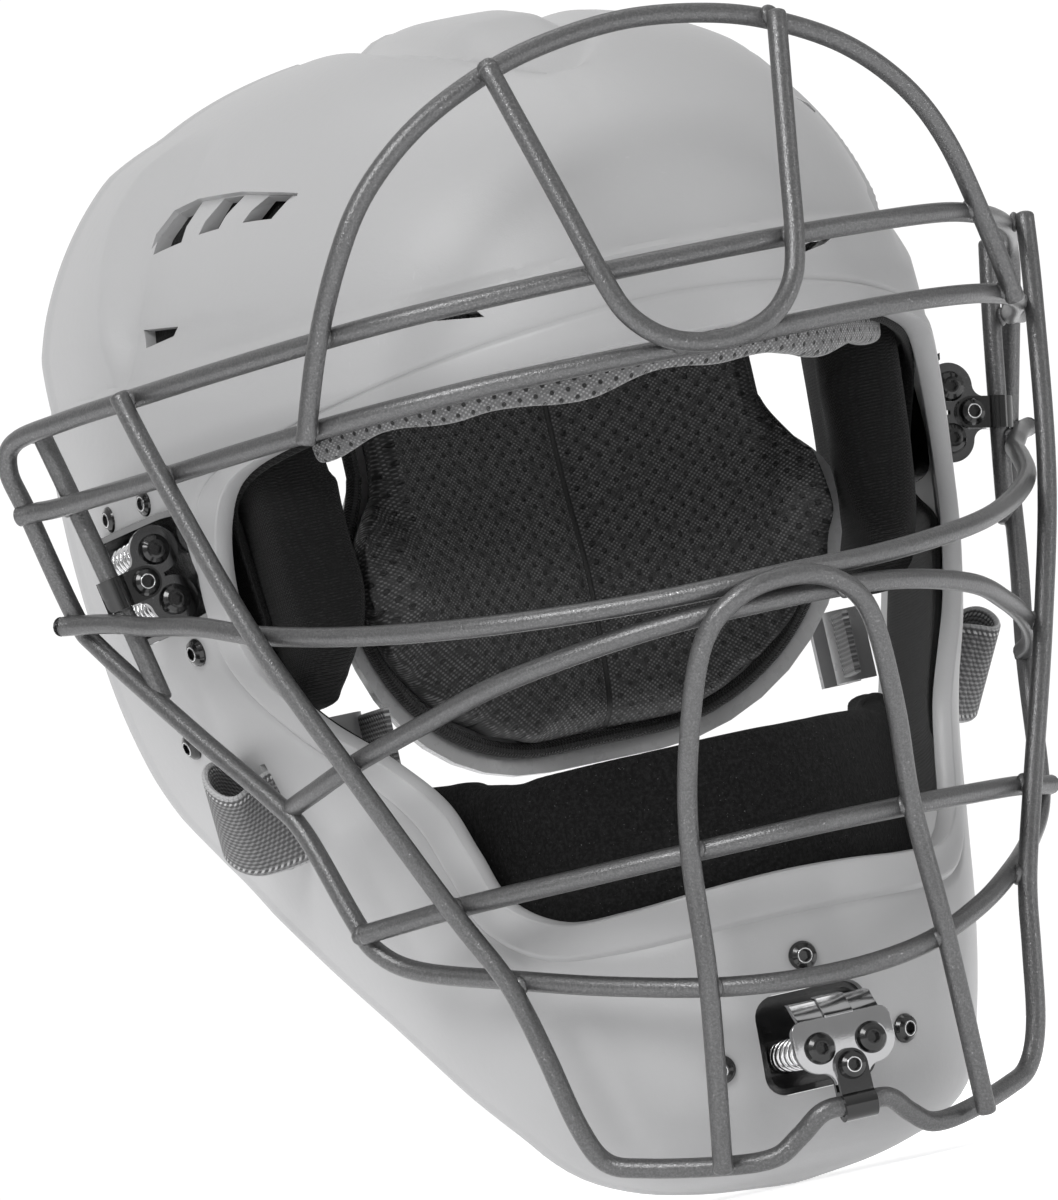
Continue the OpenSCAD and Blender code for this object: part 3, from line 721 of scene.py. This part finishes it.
def shell_relief(p, turn, tilt, front, rear):
    """Height of the moulded detail above the plain shell, in mm."""
    x, y, z = np.abs(p[..., 0]), p[..., 1], p[..., 2]
    turn = np.abs(turn)
    h = 0.8 * ease(-front, -9.8, -8.4) - 0.45 * np.exp(-((front - 9.6) / 1.1) ** 2)
    h += (0.9 - 1.9 * ease(z, 5.2, 8.2)) * ease(z, -60, -20)
    panel = np.interp(turn, [28, 34, 52, 58], [0, 1, 1, 0])
    near = np.interp(turn, [30, 37.5, 40, 45.6, 53.9, 58], [91.5, 92.5, 93.8, 94.3, 96, 97])
    far = np.interp(turn, [30, 33.3, 39.1, 45.4, 55, 58], [98.5, 99, 100.7, 99.3, 97.8, 97.4])
    back = np.clip((tilt - near) / (far - near), 0, 1)
    h += panel * (3.0 * back - side_drop(tilt) * (1 - back))
    half = 30 * np.sqrt(np.clip((y - 62) / 50, 0, 1))
    high = ease(z, 34, 46)
    h -= 3.6 * ease(half - x, -1, 6) * high
    h += 5.0 * ease(-x, -19, -7) * ease(y, 72, 104) * high
    crease = np.interp(tilt, [66, 87, 92], [46.6, 50, 50.6])
    h -= 0.7 * ease(turn - crease, -0.4, 0.5) * ease(tilt, 66, 74) * ease(-tilt, -97, -92) \
        * ease(-turn, -58, -52)
    h += 0.5 * ease(-rear, -4.5, -2.5)
    return h


PORT_TURN, PORT_TILT, REAR_TILT = port_and_rim()


def build_shell():
    turn, start, end = PORT_TURN, PORT_TILT, REAR_TILT
    n = len(turn)
    tilts = start[:, None] + (end - start)[:, None] * np.linspace(0, 1, 260)
    steps = norm(np.diff(skin(turn[:, None], tilts), axis=1), axis=2)
    length = np.hstack([np.zeros((n, 1)), np.cumsum(steps, axis=1)])
    total = length[:, -1:]
    middle = np.linspace(FRONT_ROWS[-1], total - REAR_ROWS[0], MIDDLE_ROWS + 2, axis=2)
    rows = np.hstack([np.tile(FRONT_ROWS, (n, 1)), middle[:, 0, 1:-1], total - REAR_ROWS])
    tilt = np.array([np.interp(rows[k], length[k], tilts[k]) for k in range(n)])
    p = skin(turn[:, None], tilt)
    h = shell_relief(p, turn[:, None] * np.ones_like(tilt), tilt, rows, rows[:, -1:] - rows)
    across = np.roll(p, -1, 0) - np.roll(p, 1, 0)
    along = np.gradient(p, axis=1)
    normal = unit(np.cross(across, along))
    outer = p + normal * h[..., None]
    inner = p - normal * (SHELL_T - np.clip(h, -9, 0))[..., None]
    step = unit(along) * SHELL_T / 4
    bows = [radians(a) for a in (25, 55, 90, 125, 155)]

    def rounded(column, sign):
        top, low = outer[:, column], inner[:, column]
        middle, reach = (top + low) / 2, (top - low) / 2
        return [middle + reach * cos(b) + sign * step[:, column] * sin(b)
                for b in bows]

    loop = [outer[:, j] for j in range(outer.shape[1])]
    loop += rounded(-1, 1)
    loop += [inner[:, j] for j in range(inner.shape[1] - 1, -1, -1)]
    loop += rounded(0, -1)[::-1]
    points = np.stack(loop, axis=1).reshape(-1, 3)
    return make_piece("helmet_shell", points, tube_faces(n, len(loop), closed=True), SHELL, 32)


def normal_at(turn, tilt):
    across = skin(turn + 0.7, tilt) - skin(turn - 0.7, tilt)
    rearward = skin(turn, tilt + 0.7) - skin(turn, tilt - 0.7)
    return unit(np.cross(across, rearward))


def prism(corners, out, deep):
    """Cutter through the shell inside corners given as turn and tilt."""
    corners = floats(corners)
    spots = skin(corners[:, 0], corners[:, 1])
    way = unit(np.mean([normal_at(*c) for c in corners], axis=0))
    return np.vstack([spots + way * out, spots - way * deep]), prism_faces(len(spots))


SCOOP_DEPTH = 2.4


def scoop(upper, lower):
    """Cutter for a recess that is deep along its upper edge and runs out at its lower one."""
    points = []
    for top, foot in zip(upper, lower):
        a, b, up, down = skin(*top), skin(*foot), normal_at(*top), normal_at(*foot)
        drop = side_drop(top[1])
        points += [a + up * 6, b + down * 6, b - down * (drop - 0.2),
                   a - up * (SCOOP_DEPTH + drop)]
    return np.array(points), tube_faces(len(upper), 4)


SIDE_MOUNT, SIDE_TILT = np.array([103.5, 134.5, -40.0]), 10.6
CHIN_MOUNT = np.array([0.0, 20.0, -186.5])


def from_mount(points, mount):
    """Points in a mount's own frame, put round the brow bar."""
    points = floats(points)
    a = radians(90 if mount == "chin" else SIDE_TILT)
    x, y, z = np.moveaxis(points, -1, 0)
    turned = together(x * cos(a) + z * sin(a), y, z * cos(a) - x * sin(a))
    turned = turned + (CHIN_MOUNT if mount == "chin" else SIDE_MOUNT)
    return turned * (-1, 1, 1) if mount == "left" else turned


def round_box(low, high, half, radius, front, back, mount):
    """Prism along a mount's bolts with round corners."""
    corners = []
    for x, z, first in ((high - radius, half - radius, 0), (low + radius, half - radius, 90),
                        (low + radius, radius - half, 180), (high - radius, radius - half, 270)):
        corners += arc(x, z, radius, first, first + 90, 7)
    points = [(x, y, z) for y in (front, back) for x, z in corners]
    return from_mount(points, mount), prism_faces(len(corners))


def box(low, high):
    points = np.array([[x, y, z] for x in (low[0], high[0]) for y in (low[1], high[1])
                       for z in (low[2], high[2])], dtype=float)
    return points, [(0, 1, 3, 2), (4, 6, 7, 5), (0, 4, 5, 1), (2, 3, 7, 6), (0, 2, 6, 4),
                    (1, 5, 7, 3)]


UPPER_VENT = ([[-40.2, 94.2], [-37.4, 92.4], [-35.9, 88.2], [-35.2, 83.8], [-34.5, 79.8],
               [-34.0, 75.2], [-33.0, 69.6]],
              [[-42.7, 94.3], [-42.0, 92.4], [-41.0, 88.2], [-39.9, 83.8], [-38.9, 79.8],
               [-37.7, 75.2], [-33.5, 69.4]])
HOLES = [[[-40.0, 93.6], [-37.6, 92.2], [-36.1, 88.4], [-40.9, 88.3], [-42.3, 93.7]],
         [[-35.5, 83.8], [-34.8, 80.0], [-39.0, 81.3], [-39.9, 85.0]],
         [[-34.3, 75.2], [-33.4, 70.3], [-36.7, 72.0], [-37.9, 76.9]],
         [[-50.5, 93.9], [-50.1, 86.6], [-51.1, 87.7], [-52.3, 93.5]],
         [[-41.6, 48.4], [-38.2, 44.0], [-34.2, 39.9], [-34.2, 38.7], [-39.1, 43.5]]]


def flip(corners):
    return [[-turn, tilt] for turn, tilt in corners]


def cut(piece, parts, name):
    """Takes solid parts out of a piece."""
    cutter = make_piece(name, *merge(parts), SHELL)
    modify(piece, "BOOLEAN", object=cutter, operation="DIFFERENCE", solver="MANIFOLD")
    bake(piece)
    bpy.data.objects.remove(cutter)


shell = build_shell()
cut(shell, [scoop(*UPPER_VENT), scoop(*map(flip, UPPER_VENT))], "scoops")
cut(shell, [prism(c, 8, 16) for hole in HOLES for c in (hole, flip(hole))], "vents")
LOOP_Y, LOOP_R, WEB_T, WEB_W, LOOP_LOW = 137.0, 8.0, 1.6, 25.0, -115.5
SLOT_PLAY = 0.4
# Low, high, half width, corner radius, front and back of the pockets
SIDE_POCKET, CHIN_POCKET = (-8.0, 15.6, 14.4, 5.1, -8, 33.1), (-14.6, 9.1, 14.1, 5.1, 8, 33.1)
slots = []
for a, b in ((-97.0, -67.0), (67.0, 97.0)):
    for y in (LOOP_Y - LOOP_R, LOOP_Y + LOOP_R - WEB_T):
        slots.append(box((a, y - SLOT_PLAY, LOOP_LOW - SLOT_PLAY),
                         (b, y + WEB_T + SLOT_PLAY, LOOP_LOW + WEB_W + SLOT_PLAY)))
cut(shell, [round_box(*SIDE_POCKET, "right"), round_box(*SIDE_POCKET, "left"),
            round_box(*CHIN_POCKET, "chin"), *slots], "pockets")
tidy_piece(shell, SHELL, 30)
declare(shell, "helmet", "front_shell")


def slab(name, grid, near_depth, far_depth, material, uv):
    """A soft sheet of some thickness under a grid of points of the shell."""
    inward = unit(CENTRE - grid)
    n, m = grid.shape[:2]
    rows, columns = (np.minimum(np.arange(k), np.arange(k)[::-1]) for k in (n, m))
    edge = np.clip(np.minimum(rows[:, None], columns) / 3, 0, 1)
    half = (far_depth - near_depth) / 2
    round_off = 0.8 * half * (1 - np.sqrt(1 - (1 - edge) ** 2))
    near = grid + inward * (near_depth + round_off)[..., None]
    far = grid + inward * (far_depth - round_off)[..., None]
    points = np.concatenate([near.reshape(-1, 3), far.reshape(-1, 3)])
    size = n * m
    spot, faces = np.arange(size).reshape(n, m), []
    quads = together(spot[:-1, :-1], spot[:-1, 1:], spot[1:, 1:], spot[1:, :-1])
    for a, b, c, d in quads.reshape(-1, 4):
        faces += [(a, b, c, d), (d + size, c + size, b + size, a + size)]
    rim = [*spot[:, 0], *spot[-1, 1:], *spot[-2::-1, -1], *spot[0, -2:0:-1]]
    faces += [(a, b, b + size, a + size) for a, b in zip(rim, rim[1:] + rim[:1])]
    spread = np.concatenate([uv.reshape(-1, 2)] * 2)
    piece = make_piece(name, points, faces, material, angle=60, uv=spread)
    declare(piece, "helmet")


def vent_liner(side, name):
    """Black foam just inside the shell, where it shows through the vents."""
    turns, tilts = np.linspace(29, 56, 28), np.linspace(62, 99, 38)
    grid = skin(side * turns[:, None], tilts[None, :])
    slab("vent_foam_" + name, grid, 8.6, 13.0, FLEECE, together(turns[:, None], tilts) * 1.7)


def cheek_liner(side, name):
    """Black cloth on the inside of the shell, along the sides of the face opening."""
    turns = np.linspace(57, 134, 66)
    order = np.argsort(PORT_TURN)
    start = np.interp(turns, PORT_TURN[order], PORT_TILT[order])
    end = np.interp(turns, PORT_TURN[order], REAR_TILT[order]) - 2
    lips = norm(skin(turns, start) - CENTRE, axis=1)
    first = start + np.degrees(2.5 / lips)
    depth = np.linspace(0, 1, 44)
    tilts = first[:, None] + (end - first)[:, None] * depth
    grid = skin(side * turns[:, None], tilts)
    housing = ease(-np.abs(grid[..., 2] + 40), -27, -16) * ease(grid[..., 1], 112, 128)
    grid = grid + unit(CENTRE - grid) * (8.0 * housing)[..., None]
    slab("cheek_lining_" + name, grid, 4.4, 6.8, BLACK_KNIT,
         together(depth * 70, turns[:, None] * 1.7))


for liner in (vent_liner, cheek_liner):
    for side, name in SIDES:
        liner(side, name)

# -------- sprung mounts


def soften_edges(piece, width, segments, angle=40):
    modify(piece, "BEVEL", width=width * MM, segments=segments, limit_method="ANGLE",
           angle_limit=radians(angle))


def refinish(name, material, bevel, segments=2):
    """Gives a CAD node its finish and softens its edges."""
    node = NODES[name]
    node.data.materials.clear()
    node.data.materials.append(material)
    if bevel:
        soften_edges(node, bevel, segments)


for place in PLACES:
    refinish("mount_base_" + place, BASE, 0.3)
    if place != "chin":
        refinish("yoke_" + place, SIDE_YOKE, 0.35, 3)
    refinish("wire_clamp_" + place, CLAMP, 0.2)
    refinish("guide_bolts_" + place, BLACK_STEEL, 0.12)
refinish("clamp_bolts", BLACK_STEEL, 0.12)
refinish("clamp_nuts", BRIGHT_STEEL, 0.15)
refinish("shell_screws", BLACK_STEEL, 0.12)
refinish("back_rivets", BRIGHT_STEEL, 0)
refinish("back_shell", BACK_PLASTIC, 0.9, 3)
for _, hand in SIDES:
    refinish("strap_hook_" + hand, HOOK_PLASTIC, 0.5, 3)

BOLT_GAP, YOKE_T, SPRING_L = 13.0, 2.0, 25.0
COILS, COIL_R, COIL_WIRE = 8, 3.4, 0.75


def build_springs(place):
    parts = []
    for z in (-BOLT_GAP / 2, BOLT_GAP / 2):
        turns = np.linspace(0, COILS, COILS * 20 + 1)
        rise = (SPRING_L - 2 * COIL_WIRE) * np.clip((turns - 0.6) / (COILS - 1.2), 0, 1)
        route = together(COIL_R * np.cos(tau * turns), YOKE_T + COIL_WIRE + rise,
                         z + COIL_R * np.sin(tau * turns))
        points, faces = tube(route, COIL_WIRE, sides=10)
        parts.append((from_mount(points, place), faces))
    piece = make_piece("coil_springs_" + place, *merge(parts), SPRING_STEEL, angle=60)
    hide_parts("springs_" + place)
    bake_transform(piece)


for place in PLACES:
    build_springs(place)


def slice_prism(outline, low, high, axis):
    """Prism of an outline given in the mount's two other directions."""
    n = len(outline)
    points = np.insert(np.array(outline * 2), axis, np.repeat([low, high], n), axis=1)
    return from_mount(points, "chin"), prism_faces(n)


def build_chin_yoke():
    """The chin's yoke is a wide plate with a flange bent back along its top."""
    half = [(9.2, 4.1)] + arc(8.98, 7.1, 3, 270, 184, 7) + arc(0, 6.5, 6, 12, 90, 9)
    half += arc(-4.2, 9.7, 2.8, 90, 180, 7)
    outline = half + [(x, -z) for x, z in half[::-1]]
    parts = [slice_prism(outline, 0, YOKE_T, 1)]
    flange = [(-6.2, 0.3), (-6.9, 0.5), (-11.2, 4.6), (-11.6, 7.4), (-10.0, 7.4), (-9.6, 5.4),
              (-6.2, 1.9)]
    parts.append(slice_prism(flange, -10.2, 10.2, 2))
    tab = [(x - 0.5, y - 0.6) for x, y in flange]
    parts.append(slice_prism(tab, -3.6, 3.6, 2))
    piece = make_piece("chin_yoke_plate", *merge(parts), YOKE)
    soften_edges(piece, 0.4, 3, 35)
    bake(piece)
    tidy_piece(piece, YOKE, 40)
    declare(piece, "cage", "yoke_chin")


build_chin_yoke()


def socket_ring(middle, out, radius=1.8, seat=2.0):
    """Bright rim of a hexagonal socket, at a button head standing on middle along out."""
    out = unit(floats(out))
    side = unit(np.cross(out, (0.3, 0.2, 0.9)))
    other = np.cross(out, side)
    turns = np.arange(24) * tau / 24
    route = middle + out * seat + radius * (np.cos(turns)[:, None] * side
                                            + np.sin(turns)[:, None] * other)
    return tube(route, 0.2, sides=8, closed=True)


SIDE_SCREWS = [[70.4, 106], [69.4, 95.8], [90, 94], [102, 105.8]]
CHIN_SCREWS = [[180, 48], [169.5, 56], [-169.5, 56]]
CLAMP_X = 5.3
still, moving = [], []
for place in PLACES:
    origin = from_mount([[0, 0, 0]], place)[0]
    front = from_mount([[0, -1, 0]], place)[0] - origin
    for z in (-BOLT_GAP / 2, BOLT_GAP / 2):
        still.append(socket_ring(from_mount([[0, 0, z]], place)[0], front))
    moving.append(socket_ring(from_mount([[CLAMP_X, -1.2, 0]], place)[0], front, 1.7, 1.8))
for screw in SIDE_SCREWS + flip(SIDE_SCREWS) + CHIN_SCREWS:
    still.append(socket_ring(skin(*screw), normal_at(*screw), 1.7, 1.85))
for parts, body in ((still, "helmet"), (moving, "cage")):
    rims = make_piece(body + "_socket_rims", *merge(parts), BRIGHT_STEEL, angle=60)
    declare(rims, body)

# -------- pads


def soften(name, voxel, shrink):
    """A node's solid as an even, rounded mesh, a little smaller than it was."""
    piece = add(name + "_soft", NODES[name].data.copy())
    piece.data.transform(NODES[name].matrix_world)
    modify(piece, "REMESH", mode="VOXEL", voxel_size=voxel * MM)
    bake(piece)
    modify(piece, "SMOOTH", factor=0.5, iterations=6)
    bake(piece)
    move_points(piece.data, positions(piece.data)
                - positions(piece.data, "normal") * shrink * MM)
    return piece


def positions(mesh, kind="co"):
    spots = np.empty(len(mesh.vertices) * 3)
    mesh.vertices.foreach_get(kind, spots)
    return spots.reshape(-1, 3)


def move_points(mesh, spots):
    mesh.vertices.foreach_set("co", spots.ravel())
    mesh.update()


SWELL_CAP, SWELL_FRAMES = 5, 20


def swell(piece):
    """Blows the pad up a little with Cloth, no point moving further than the cap, in mm."""
    before = positions(piece.data)
    cloth = modify(piece, "CLOTH")
    cloth.settings.use_pressure = True
    cloth.settings.uniform_pressure_force = 4
    cloth.settings.effector_weights.gravity = 0
    cloth.settings.quality = 5
    cloth.settings.tension_stiffness = 25
    cloth.settings.mass = 0.2
    cloth.point_cache.frame_start = 1
    cloth.point_cache.frame_end = SWELL_FRAMES
    for number in range(1, SWELL_FRAMES + 1):
        scene.frame_set(number)
    bake(piece)
    scene.frame_set(1)
    move = positions(piece.data) - before
    size = norm(move, axis=1, keepdims=True)
    move *= np.minimum(1, SWELL_CAP * MM / np.maximum(size, 1e-9))
    move_points(piece.data, before + move)


def pad(name, material, body, uv, voxel=4.5, shrink=1.6, shape=None):
    """A padded piece in its node's place; uv maps brow-frame mm to cloth mm."""
    piece = soften(name, voxel, shrink)
    swell(piece)
    modify(piece, "SUBSURF", levels=1, render_levels=1)
    bake(piece)
    spots = positions(piece.data) / MM - BROW
    if shape:
        spots = shape(spots)
        move_points(piece.data, (spots + BROW) * MM)
    tidy_piece(piece, material, 80)
    write_uv(piece.data, uv(spots))
    declare(piece, body, name)


BACK_AXIS, BACK_R, PIPING_R = 45.0, 95.0, 101.3


def wrap_uv(axis_y, radius):
    """Cloth wrapped round a vertical axis."""
    def uv(p):
        angle = np.arctan2(p[:, 0], np.abs(p[:, 1] - axis_y))
        return together(angle * radius, p[:, 2])
    return uv


def back_shape(p):
    """The sewn seam down the middle and a quilted dip on both sides of it."""
    angle = np.arctan2(p[:, 0], p[:, 1] - BACK_AXIS)
    radius = np.hypot(p[:, 0], p[:, 1] - BACK_AXIS)
    across = angle * BACK_R
    front = ease(-radius, -98, -92)
    dip = 2.6 * np.exp(-(across / 2.6) ** 2) - 1.2 * np.exp(-((np.abs(across) - 30) / 16) ** 2)
    belly = 4.0 * np.exp(-((p[:, 2] + 62) / 20) ** 2)
    overhang = ease(p[:, 2], -96, -70) * ease(-radius, -102, -95)
    angle = angle * (1 + 0.065 * overhang)
    radius = np.minimum(radius + (dip - belly) * front, 102.6)
    return together(radius * np.sin(angle), BACK_AXIS + radius * np.cos(angle), p[:, 2])


def forehead_shape(p):
    """The lower edge hangs in shallow scallops."""
    angle = np.degrees(np.arctan2(p[:, 0], 190 - p[:, 1]))
    wave = 1.3 * np.sin(angle * 0.21 + 0.6) + 0.8 * np.sin(angle * 0.47 + 1.9)
    shifted = p.copy()
    shifted[:, 2] += wave * ease(-p[:, 2], 8, 24)
    return shifted


def side_shape(p):
    """The front of a side pad bulges forward and towards the face."""
    x, side = np.abs(p[:, 0]), np.sign(p[:, 0])
    front = ease(-p[:, 1], -130, -108)
    low = ease(p[:, 2], -76, -50)
    inward = (7.0 * low + 4.0 * ease(p[:, 2], -45, -12)) * (1 - ease(x, 66, 80))
    shifted = p.copy()
    shifted[:, 0] += side * front * (4.5 * ease(x, 74, 84) - inward)
    shifted[:, 1] -= 6.0 * front
    return shifted


pad("back_pad", BLACK_MESH, "back_plate", wrap_uv(BACK_AXIS, BACK_R),
    voxel=4.0, shrink=0.9, shape=back_shape)
pad("forehead_pad", GREY_MESH, "helmet", wrap_uv(190, 150), shape=forehead_shape,
    voxel=4.0)
pad("crown_pad", BLACK_KNIT, "helmet", lambda p: p[:, 0:2])
for name in ("side_pad_left", "side_pad_right"):
    pad(name, BLACK_KNIT, "helmet", lambda p: p[:, 1:3], shape=side_shape)
pad("chin_pad", FLEECE, "helmet", wrap_uv(143, 80), voxel=4.0)


def back_outline(half, low, high, corner, neck):
    """Outline of the back plate from behind: narrow top, flare and round bottom."""
    top = 14.0
    t = np.linspace(0, 1, 11)
    right = np.vstack([arc(half - neck - top, high - top, top, 90, 0, 16),
                       together(half - neck * (1 + np.cos(pi * t)) / 2, -24 - 26 * t),
                       arc(half - corner, low + corner, corner, 0, -90, 16)])
    return np.vstack([right, right[::-1] * (-1, 1)])


outline = back_outline(61.2, -100.2, 34.2, 47.5, 9.0)
route = together(outline[:, 0], BACK_AXIS + np.sqrt(PIPING_R ** 2 - outline[:, 0] ** 2),
                 outline[:, 1])
keep = norm(route - np.roll(route, 1, 0), axis=1) > 0.5
route = curve(route[keep], 3, closed=True)
points, faces = tube(route, 1.9, sides=12, closed=True)
length = np.cumsum(norm(route - np.roll(route, 1, 0), axis=1))
uv = together(np.arange(12) * 0.8, length[:, None]).reshape(-1, 2)
piping = make_piece("back_pad_piping", points, faces, PIPING, angle=80, uv=uv)
declare(piping, "back_plate")

# -------- straps


def ribbon(name, route, across, width, thick, material):
    """Flat tape along a route; across is its width direction at each point."""
    route, across = floats(route), unit(floats(across))
    along = unit(np.gradient(route, axis=0))
    face = unit(np.cross(along, across))
    length = np.append(0, np.cumsum(norm(np.diff(route, axis=0), axis=1)))
    edge = [(-0.5, 0.0), (-0.49, 0.32), (-0.47, 0.5)]
    edge += [(t, 0.5) for t in np.linspace(-0.44, 0.44, 10)]
    edge += [(0.47, 0.5), (0.49, 0.32), (0.5, 0.0)]
    profile = edge + [(a, -b) for a, b in edge[-2:0:-1]]
    a, b = np.array(profile).T[..., None]
    points = route[:, None] + across[:, None] * a * width + face[:, None] * b * thick
    uv = together(a[:, 0] * width, length[:, None])
    return make_piece(name, points.reshape(-1, 3), tube_faces(len(route), len(profile)), material,
                      angle=50, uv=uv.reshape(-1, 2))


def strap_loop(side, name):
    """The webbing comes out of the shell, leans forward in its bow and goes back in."""
    reach, r = 93.5 - 2.5 * side, LOOP_R - WEB_T / 2
    path = [(85.5, LOOP_Y - r), (87, LOOP_Y - r), (90, LOOP_Y - r - 0.3)]
    path += arc(reach, LOOP_Y, r, -90, 90, 10)
    path += [(90, LOOP_Y + r + 0.3), (87, LOOP_Y + r), (85.5, LOOP_Y + r)]
    flat = curve(np.array(path), 4)
    out = ease(flat[:, 0], 82, 104)
    middle = LOOP_LOW + WEB_W / 2
    rise = 0.85 * out * (flat[:, 1] - LOOP_Y)
    route = together(side * flat[:, 0], flat[:, 1], middle + 1.8 * out + rise)
    across = together(side * (0.42 - 0.12 * out), -0.85 * out, 1)
    piece = ribbon("webbing_loop_" + name, route, across, WEB_W, WEB_T, WEBBING)
    declare(piece, "helmet", "strap_loop_" + name)


INNER_Z = -91.0


def inner_strap(side, name):
    path = curve(np.array([(62.3, 137.0), (62.2, 134.2), (61.4, 129.0), (60.15, 122.0)]), 8)
    route = together(side * path[:, 0], path[:, 1], INNER_Z)
    across = np.tile([0.0, 0.0, 1.0], (len(path), 1))
    piece = ribbon("elastic_strap_" + name, route, across, 16.0, 1.5, ELASTIC)
    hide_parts("inner_strap_" + name)
    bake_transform(piece)


for side, name in SIDES:
    strap_loop(side, name)
    inner_strap(side, name)

# -------- studio


def build_floor():
    f = Finish("pale_floor")
    f.set(Base_Color=grey(0.82), Roughness=0.6, Emission_Color=(1, 1, 1), Emission_Strength=0.55)
    low = cad_box[0][2] - 0.0005
    mesh = bpy.data.meshes.new("floor")
    mesh.from_pydata([(x, y, low) for x, y in ((-6, -6), (6, -6), (6, 12), (-6, 12))], [],
                     [(0, 1, 2, 3)])
    floor = add("floor", mesh)
    mesh.materials.append(f.material)


def build_world():
    """White far behind the object, and round it brighter above than at the sides."""
    world = bpy.data.worlds.new("studio")
    sky = Nodes(world)
    split = sky.node("ShaderNodeSeparateXYZ")
    sky.feed(split.inputs[0], sky.node("ShaderNodeTexCoord").outputs["Generated"])
    x, y, z = split.outputs
    side = sky.ramp(x, -0.7, 0.8, 0.48, 0.46)
    above = sky.ramp(z, 0.1, 1.0, side, 0.8)
    white = sky.ramp(y, 0.72, 0.88, above, 1.05)
    background = sky.node("ShaderNodeBackground")
    sky.feed_all(background, Color=(1, 1, 1), Strength=white)
    sky.feed(sky.node("ShaderNodeOutputWorld").inputs[0], background.outputs[0])
    scene.world = world


LIT_POINT = np.array([0.0, 0.0, -0.05])


def area_light(name, place, size, power):
    """A soft box aimed at the middle of the object."""
    data = bpy.data.lights.new(name, "AREA")
    data.shape = "RECTANGLE"
    data.size, data.size_y = size
    data.energy = power
    light = add(name, data)
    back = unit(np.array(place) - LIT_POINT)
    right = unit(np.cross((0, 0, 1), back))
    light.matrix_world = placed(right, np.cross(back, right), back, place)


build_floor()
build_world()
area_light("key", (-1.5, -1.6, 1.4), (1.1, 0.9), 35)
area_light("fill", (1.8, -1.5, 0.2), (0.5, 1.4), 7)
area_light("top", (0.1, 0.3, 2.0), (1.4, 1.0), 6)
scene.view_settings.view_transform = "Standard"
